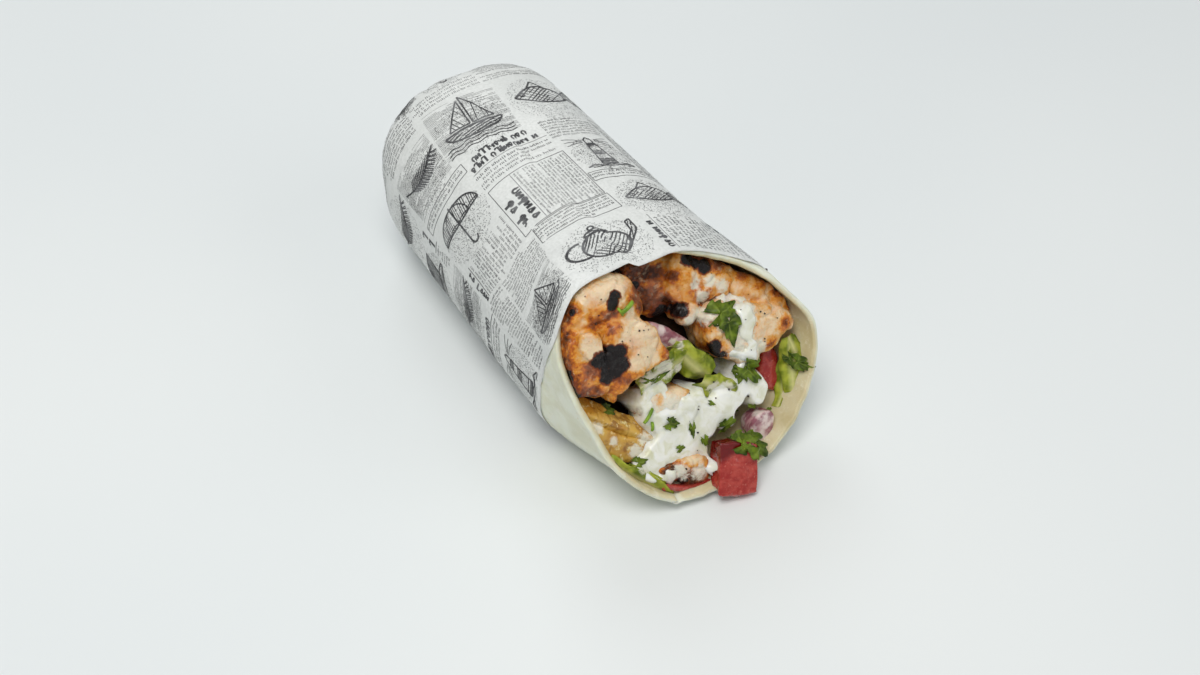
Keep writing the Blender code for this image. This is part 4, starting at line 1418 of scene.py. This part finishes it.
def make_small_pieces():
    """Chips, tomato and onion: cut pieces with softened edges."""
    finishes = {"potato": potato_finish(), "tomato": tomato_finish(), "onion": onion_finish()}
    plans = {}
    for number, (node, (slot, *plan)) in enumerate(SMALL_PIECES.items()):
        plans[node] = slot, mound(*plan, 7.0 * number)
    for node, (slot, *plan) in SMALL_BLOCKS.items():
        plans[node] = slot, block(*plan)
    tomato_place = SMALL_BLOCKS["tomato_front"][1]
    made = []
    for number, (node, (slot, shape)) in enumerate(plans.items()):
        obj = fused("cut_" + node, [shape], finishes[slot], voxel=0.45, softening=2)
        relief = {"onion": 0.10, "potato": 0.08, "tomato": 0.04}[slot]
        roughen(obj, 0.2, relief, 0.14, number * 5.0)
        keep_inside_bread(obj)
        if slot == "tomato":
            places = to_mouth(coordinates(obj))
            away = (places - tomato_place) @ np.array((-0.1, 0.9, 0.1))
            paint(obj, "skin", smooth((away - 4.2) / 2.0) * (node == "tomato_front"))
        smear(obj)
        made.append(finish_piece(obj, slot, node))
    return made


# ------------------------------------------------------------------ leaves


def leaf_strip(centre, turn, length, width, ruffle, curl, seed, steps=(56, 22)):
    """A crumpled lettuce leaf as a grid in the mouth's coordinates, with its rib in the middle."""
    along = np.linspace(-1.0, 1.0, steps[0])[:, None] + np.zeros(steps[1])
    across = np.linspace(-1.0, 1.0, steps[1])[None, :] + np.zeros((steps[0], 1))
    trim = np.sqrt(1.0 - 0.6 * along**2) * (1.0 + 0.05 * np.sin(9 * along + seed) * np.abs(across))
    edge = np.abs(across) ** 1.5
    rise = ruffle * edge * np.sin(5.0 * along + seed + 1.2 * across)
    rise += 0.3 * ruffle * edge * np.sin(12.0 * along + 2 * seed - 2 * across)
    rise += curl * np.sin(1.9 * across + 0.5 * np.sin(2.0 * along + seed) + 0.6)
    local = np.stack((along * length / 2, across * trim * width / 2, rise), -1)
    local[..., 2] += 0.35 * noise_at(local + seed, 2.6)
    rotation = np.array(Euler([math.radians(a) for a in turn]).to_matrix())
    return local @ rotation.T + centre, 0.8 * np.clip(1.0 - np.abs(across + 0.15 * along) * 2.2, 0.0, 1.0)


def make_lettuce():
    """Crumpled leaves, two to four in each bunch."""
    fresh = leaf_finish("lettuce_leaf", (92, 108, 12), (170, 176, 62), (218, 214, 150))
    plans = {
        "lettuce_centre": (
            ((6.2, -37.4, -5.6), (26, -6, -52), 17, 11, 1.3, 1.6, 0.4),
            ((1.0, -35.6, -5.0), (10, 10, -14), 18, 9, 1.2, 1.2, 3.4),
            ((-4.0, -36.8, -4.2), (-4, 4, 10), 20, 8, 0.9, 1.2, 2.4),
            ((12.6, -48.6, -3.6), (14, 4, -38), 14, 8.5, 1.2, 1.4, 4.1),
        ),
        "lettuce_left": (
            ((-22.0, -65.5, -2.6), (34, 0, -48), 26, 7, 1.1, 0.8, 2.6),
            ((-19.0, -68.5, -4.0), (10, 0, -50), 20, 7, 1.0, 1.0, 5.2),
        ),
        "lettuce_right": (
            ((41.4, -54.0, -5.0), (-24, 4, 80), 20, 8, 0.6, 1.2, 1.7),
            ((39.2, -58.5, -7.0), (-34, 0, 70), 18, 7, 0.6, 1.0, 3.3),
            ((43.8, -50.0, -5.0), (-20, 10, 100), 12, 6, 0.5, 1.0, 6.0),
        ),
    }
    made = []
    for node, leaves in plans.items():
        grids, ribs = zip(*(leaf_strip(*leaf) for leaf in leaves))
        points, faces = joined((grid, grid_faces(*grid.shape[:2])) for grid in grids)
        obj = new_object("leaf_" + node, to_world(points), faces, fresh)
        keep_inside_bread(obj)
        paint(obj, "rib", np.concatenate([rib.ravel() for rib in ribs]))
        smear(obj)
        made.append(finish_piece(thickened(obj, 0.3), "lettuce", node))
    return made


# ------------------------------------------------------------------ what lies on top


class Ground:
    """Everything so far as one surface, to be looked down on from outside the mouth."""

    ABOVE = 30.0

    def __init__(self, objects):
        points, faces = joined(
            (coordinates(obj), [face.vertices for face in obj.data.polygons]) for obj in objects
        )
        self.tree = BVHTree.FromPolygons(points.tolist(), faces)
        self.down = Vector(-MOUTH_AXES[2])

    def height(self, u, v, deepest=-17.0):
        """How far out (w) the surface lies at a place in the mouth's plane."""
        start = Vector(to_world((u, v, self.ABOVE)))
        hit = self.tree.ray_cast(start, self.down)
        return max(deepest, self.ABOVE - hit[3]) if hit[0] is not None else deepest


def blurred(grid, reach):
    """The grid softened by repeated averaging with its neighbours."""
    for _ in range(reach):
        wide = np.pad(grid, 1, mode="edge")
        grid = (wide[:-2, 1:-1] + wide[2:, 1:-1] + wide[1:-1, :-2] + wide[1:-1, 2:] + 2 * grid) / 6
    return grid


SAUCE_POOLS = {
    # Drops and thin places: u, v, radius. The sauce rests no deeper than its bed (w), and may draw
    # back from chunks that stand proud of it.
    "sauce_pool": {
        "nodes": ("sauce",),
        "bed": -3.4,
        "bares_chunks": True,
        "drops": (
            (-12, -44, 4), (-7, -42.5, 4.5), (-12, -50, 4.5), (-3, -51, 6), (4, -50, 4.5), (8, -56, 5),
            (15, -54, 5.5), (23, -52.5, 5.5), (28, -54, 4), (26, -58.5, 3), (14, -58, 4.5), (4, -60, 6),
            (-3, -61, 6.5), (-10, -59, 5), (0, -67, 4.5), (3.6, -70.5, 3.2), (-7, -65, 4),
            (-14.5, -66, 3.4), (-15, -61, 3.4), (23, -47, 3.2), (13, -62, 2.6), (3.6, -73.6, 2.4),
            (-19, -62, 2.8), (-12, -69.5, 2.6), (-18, -66.5, 2.6),
        ),
        "thin": ((-4, -47, 3), (-9, -45.5, 2.4), (-1.2, -70, 3), (-6.7, -70.1, 3), (17, -50, 1.8)),
    },
    "sauce_on_right": {
        "nodes": (),
        "bed": -20,
        "bares_chunks": False,
        "drops": (
            (27, -26.5, 3.4), (27.5, -31, 3.6), (25.5, -35, 2.6), (22.5, -23, 2.4), (23.5, -43, 3.2),
            (20.3, -41, 2.2), (26.5, -43, 2.6), (27, -39, 2),
        ),
        "thin": (),
    },
}


SAUCE_STEP, SAUCE_MARGIN, SAUCE_WARP = 0.42, 9.0, 1.6
SAUCE_SPREAD, SAUCE_LEAST = 1.5, 0.26
SAUCE_THICKNESS, SAUCE_SINKING, SAUCE_THINNING = 1.55, 0.75, 1.1
CHUNK_PROUD, CHUNK_PROUD_SPAN = 3.6, 1.6


def sauce_sheet(plan, number, ground):
    """The sauce's top and foot over a grid in the mouth's plane, and where there is sauce at all."""
    drops = np.array(plan["drops"], float)
    low, high = drops[:, :2].min(0) - SAUCE_MARGIN, drops[:, :2].max(0) + SAUCE_MARGIN
    u, v = np.meshgrid(np.arange(low[0], high[0], SAUCE_STEP), np.arange(low[1], high[1], SAUCE_STEP))
    flat = np.stack((u, v, 0 * u), -1)
    warp = np.stack((noise_at(flat, 5.0, 1.0), noise_at(flat, 5.0, 6.0)), -1) * SAUCE_WARP
    x, y = np.moveaxis(flat[..., :2] + warp, -1, 0)
    field = np.zeros_like(u)
    for a, b, radius in drops:
        away = ((x - a) ** 2 + (y - b) ** 2) / (SAUCE_SPREAD * radius) ** 2
        field += np.clip(1.0 - away, 0.0, 1.0) ** 2
    cover = field - SAUCE_LEAST
    under = np.vectorize(ground.height)(u, v)
    bed = plan["bed"] + 0.9 * noise_at(flat, 8.0, 30.0)
    bed = bed - 4.0 * (1.0 - smooth(cover / 0.5)) - 0.03 * np.abs(v + 56.0)
    lying = np.maximum(np.maximum(blurred(under, 14), blurred(under, 4) - 0.5), bed)
    for a, b, radius in plan["thin"]:
        lying -= SAUCE_THINNING * np.clip(1.4 - np.hypot(x - a, y - b) / radius, 0.0, 1.0)
    if plan["bares_chunks"]:
        cover = cover - 0.9 * smooth((under - plan["bed"] - CHUNK_PROUD) / CHUNK_PROUD_SPAN)
    body = SAUCE_THICKNESS * np.sqrt(np.clip(cover / 0.55, 0.0, 1.0))
    body = body + 0.28 * cloud_at(flat, 7.0, 2, 13.0 + number)
    top = lying + body - SAUCE_SINKING
    keep = cover > -0.02
    cells = keep[:-1, :-1] & keep[1:, :-1] & keep[:-1, 1:] & keep[1:, 1:]
    return u, v, top, np.minimum(top - 2.0, blurred(under, 3) - 0.6), cells


def make_sauce(ground, material):
    """Thick sauce draped over what lies under it, diving under the pieces' skin at its border."""
    made = []
    for number, (name, plan) in enumerate(SAUCE_POOLS.items()):
        pool = closed_patch(name, *sauce_sheet(plan, number, ground), material)
        modify(pool, "SMOOTH", factor=0.5, iterations=4)
        made.append(finish_piece(baked(pool), "sauce", *plan["nodes"]))
    return made


def closed_patch(name, u, v, top, bottom, cells, material):
    """A closed mesh from the chosen cells of a height grid, its underside lying below its top."""
    rows, columns = u.shape
    count = rows * columns
    faces, sides = [], {}
    for i, j in zip(*np.nonzero(cells)):
        corners = (i * columns + j, i * columns + j + 1, (i + 1) * columns + j + 1, (i + 1) * columns + j)
        faces.append(corners)
        faces.append(tuple(count + corner for corner in corners[::-1]))
        for a, b in zip(corners, corners[1:] + corners[:1]):
            if sides.pop((b, a), None) is None:
                sides[(a, b)] = True
    faces += [(b, a, a + count, b + count) for a, b in sides]
    points = np.concatenate([np.stack((u, v, w), -1).reshape(-1, 3) for w in (top, bottom)])
    used = sorted({index for face in faces for index in face})
    place = {index: number for number, index in enumerate(used)}
    faces = [[place[index] for index in face] for face in faces]
    return outward(new_object(name, to_world(points[used]), faces, material))


PARSLEY = (
    # u, v, turn, length, width, lift
    (18.2, -25.4, 4, 9.5, 7, 0.5), (20.6, -29, 266, 10.5, 6.6, 0.4), (17.8, -43.6, -30, 5, 4.4, 0.4),
    (24, -47.2, 300, 8.6, 6.2, 0.8), (26.8, -48.6, 60, 6, 4.6, 0.6), (21.6, -47, 250, 5.4, 4.2, 0.5),
    (42.6, -52.4, -44, 10, 4.4, 1.2), (40.4, -50.2, -80, 4, 3, 0.8), (-18.4, -40.2, -8, 5, 2.6, 0.3),
    (-14.6, -41, 10, 3.4, 2.2, 0.3), (-24.6, -42, -40, 4.6, 3.4, 0.3), (-7.2, -52.8, -30, 4.6, 4, 0.4),
    (0.2, -57.6, 260, 4.6, 2.4, 0.4), (-5.8, -62.6, 0, 2.8, 2.2, 0.3), (3.4, -63.2, 280, 3.4, 2.6, 0.3),
    (-20.6, -61, -6, 4.2, 3, 0.3), (-28.4, -36.4, 70, 4, 3, 0.2), (11.6, -62, 14, 6, 4.2, 0.5),
    (16.4, -62.8, 30, 6.6, 4.6, 0.7), (20, -63.4, -20, 5, 4, 0.7), (24.2, -60.4, -60, 2.8, 2.4, 0.4),
    (28.6, -63.6, 0, 1.8, 1.4, 0.3), (9.2, -63.6, 200, 3.6, 3, 0.4), (12.4, -66.6, -14, 9, 6.4, 0.8),
    (17.2, -69.6, -48, 10.4, 7.4, 1), (18.6, -73.6, -66, 6.2, 4.6, 0.9),
    (13.2, -67.6, 215, 3.8, 3, 0.5), (-6.8, -37.6, 10, 6, 1.6, 0.2), (-10.8, -36.8, -20, 4, 2, 0.2),
    (-1.2, -40.6, -60, 3.4, 1.6, 0.2), (8.6, -52.6, -40, 2.4, 1.4, 0.2),
)


def leaflet(length, width, turn, seed, steps=(9, 44)):
    """A leaflet with three toothed lobes, flat: x, y, its share of the way out, and its rib."""
    out = np.linspace(0.0, 1.0, steps[0])[:, None] + np.zeros(steps[1])
    way = np.radians(np.linspace(-118.0, 118.0, steps[1]))[None, :] + np.zeros((steps[0], 1))
    lobes = (0.60 + 0.40 * np.abs(np.cos(2.7 * way)) ** 0.45) * (1.0 - 0.55 * smooth(np.abs(way) / 2.06))
    teeth = 1.0 + 0.09 * np.sin(way * 12.0 + seed) + 0.05 * np.sin(way * 19.0 + 2 * seed)
    reach = out * lobes * teeth
    x, y = (reach * np.cos(way) - 0.3 * out) * length, reach * np.sin(way) * width * 0.9
    turn = math.radians(turn)
    rib = np.clip(1.0 - np.abs(np.sin(2.7 * way)) * 3.0, 0.0, 1.0) * (1.0 - out)
    return x * math.cos(turn) - y * math.sin(turn), x * math.sin(turn) + y * math.cos(turn), out, rib


def make_parsley(ground):
    """Chopped flat-leaf parsley: ragged leaflets that lie on whatever is under them."""
    parts, ribs = [], []
    for number, (u, v, turn, length, width, lift) in enumerate(PARSLEY):
        x, y, out, rib = leaflet(length, width, turn, number * 1.7)
        below = np.vectorize(ground.height)(u + x, v + y)
        middle = np.median(below)
        below = blurred(np.clip(below, middle - 0.25 * length, middle + 0.35 * length), 5)
        curl = 0.10 * length * noise_at(np.stack((x, y, 0 * x + number), -1), 2.6, 5.0)
        rise = below + lift + curl + 0.07 * length * out**2 * math.sin(number * 2.4)
        parts.append((np.stack((u + x, v + y, rise), -1), grid_faces(*x.shape)))
        ribs.append(rib.ravel())
    points, faces = joined(parts)
    green = leaf_finish("parsley_leaf", (44, 62, 6), (112, 132, 34), (150, 164, 76), 0.42)
    obj = new_object("parsley_leaves", to_world(points), faces, green)
    paint(obj, "rib", np.concatenate(ribs))
    return finish_piece(thickened(obj, 0.16), "lettuce")


CHIVES = (
    # u, v, turn, length, radius
    (-14, -9.6, 24, 5, 0.75), (-13.6, -47.6, 40, 5.4, 0.6), (-13.1, -51.6, 75, 3, 0.55),
    (-16.2, -10.4, -70, 3, 0.45),
)


def make_chives(ground):
    """Short cut lengths of chive: closed tubes, drawn in a little at their ends."""
    sides, rings = 10, 7
    share = (np.arange(rings) / (rings - 1) - 0.5)[:, None, None]
    around = (math.tau * np.arange(sides) / sides)[None, :, None]
    narrowing = np.where(np.abs(share) < 0.5, 1.0, 0.82)
    ends = [list(range(sides))[::-1], list(range((rings - 1) * sides, rings * sides))]
    tube = grid_faces(rings, sides, ring=True) + ends
    parts = []
    for u, v, turn, length, radius in CHIVES:
        cosine, sine = math.cos(math.radians(turn)), math.sin(math.radians(turn))
        along, across = np.array((cosine, sine, 0.0)), np.array((-sine, cosine, 0.0))
        wall = radius * narrowing
        rise = ground.height(u, v) + radius * 0.7 + 0.5 - 2.0 * share**2 + 0.85 * wall * np.sin(around)
        walls = np.array((u, v, 0.0)) + along * length * share + across * wall * np.cos(around)
        parts.append((walls + rise * (0.0, 0.0, 1.0), tube))
    points, faces = joined(parts)
    green = leaf_finish("chive", (96, 132, 34), (146, 178, 62), (150, 186, 70), 0.3)
    obj = new_object("chive_cuts", to_world(points), faces, green)
    paint(obj, "rib", np.zeros(len(obj.data.vertices)))
    return finish_piece(outward(obj), "lettuce")


PEPPERED = (
    # u, v, radius within which grains have fallen
    (-20, -10, 10), (-13, -22, 8), (0, -50, 9), (15, -55, 10), (0, -62, 9), (24, -32, 9), (36, -36, 6),
)


def make_pepper(ground):
    """Coarse black pepper: broken grains on the sauce and the chicken, and one on the bread's rim."""
    rng = random.Random(29)
    places = [(41.4, -20.6, 0.45)]
    for u, v, radius in PEPPERED:
        for _ in range(5):
            a, b = u + rng.gauss(0, radius / 2), v + rng.gauss(0, radius / 2)
            places.append((a, b, rng.uniform(0.15, 0.3)))
    grains = []
    for number, (u, v, size) in enumerate(places):
        centre = (u, v, ground.height(u, v) + size * 0.9)
        grains.append(block(centre, (size, size * 0.8, size), (0, 0, 40 * number), 0.85, 0.4, number, 2))
    points, faces = joined(grains)
    return finish_piece(new_object("pepper_grains", to_world(points), faces, pepper_finish()), "filling")


# ------------------------------------------------------------------ stage, light and camera


def make_stage():
    look = Finish("pale_floor", roughness=0.7)
    shade = look.noise(260.0, detail=1.0)
    look.set("Base Color", look.layers((224, 228, 228), (shade, 0.3, 0.7, 1.0, (230, 233, 232))))
    size = 2500.0
    corners = [(-size, -size, 0), (size, -size, 0), (size, size, 0), (-size, size, 0)]
    new_object("floor", corners, [(0, 1, 2, 3)], look.material)


def add_light(name, place, target, size, power, colour=(1.0, 1.0, 1.0)):
    lamp = bpy.data.lights.new(name, "AREA")
    lamp.shape = "DISK"
    lamp.size, lamp.energy, lamp.color = size, power, colour
    obj = bpy.data.objects.new(name, lamp)
    bpy.context.scene.collection.objects.link(obj)
    obj.location = place
    obj.rotation_euler = (Vector(target) - Vector(place)).to_track_quat("-Z", "Y").to_euler()


def make_light():
    world = bpy.data.worlds.new("studio")
    world.use_nodes = True
    sky = world.node_tree.nodes["Background"].inputs
    sky["Color"].default_value, sky["Strength"].default_value = (0.93, 0.97, 1.0, 1.0), 0.38
    bpy.context.scene.world = world
    centre = (0.0, 0.0, 0.03)
    add_light("key", (-0.35, -0.25, 1.1), centre, 0.7, 8.0, (1.0, 0.985, 0.96))
    add_light("fill", (0.8, -0.7, 0.7), centre, 0.8, 1.6)
    add_light("back", (0.2, 0.9, 0.9), centre, 0.6, 3.0, (0.95, 0.98, 1.0))


def make_camera():
    elevation, azimuth, roll = math.radians(45.4), math.radians(-33.5), math.radians(1.7)
    flat = math.cos(elevation)
    back = Vector((flat * math.sin(azimuth), -flat * math.cos(azimuth), math.sin(elevation)))
    level = (-back).cross(Vector((0.0, 0.0, 1.0))).normalized()
    upright = level.cross(-back)
    right = level * math.cos(roll) + upright * math.sin(roll)
    up = -level * math.sin(roll) + upright * math.cos(roll)
    target, distance = Vector((-5.6, -12.8, 12.5)) * MM, 665.4 * MM
    camera = bpy.data.objects.new("camera", bpy.data.cameras.new("camera"))
    camera.data.lens, camera.data.sensor_width = 60.0, 36.0
    axes = Matrix((right, up, back)).transposed().to_4x4()
    camera.matrix_world = Matrix.Translation(target + back * distance) @ axes
    bpy.context.scene.collection.objects.link(camera)
    bpy.context.scene.camera = camera


# ------------------------------------------------------------------ everything together


def main():
    make_paper()
    bread = make_bread()
    core = make_core()
    food = make_chicken(chicken_finish()) + make_small_pieces() + make_lettuce()
    sauce = make_sauce(Ground(food + [bread, core]), sauce_finish())
    ground = Ground(food + sauce + [bread, core])
    make_parsley(ground)
    make_chives(ground)
    make_pepper(ground)
    make_stage()
    make_light()
    make_camera()
    bpy.context.scene.view_settings.view_transform = "Standard"


main()
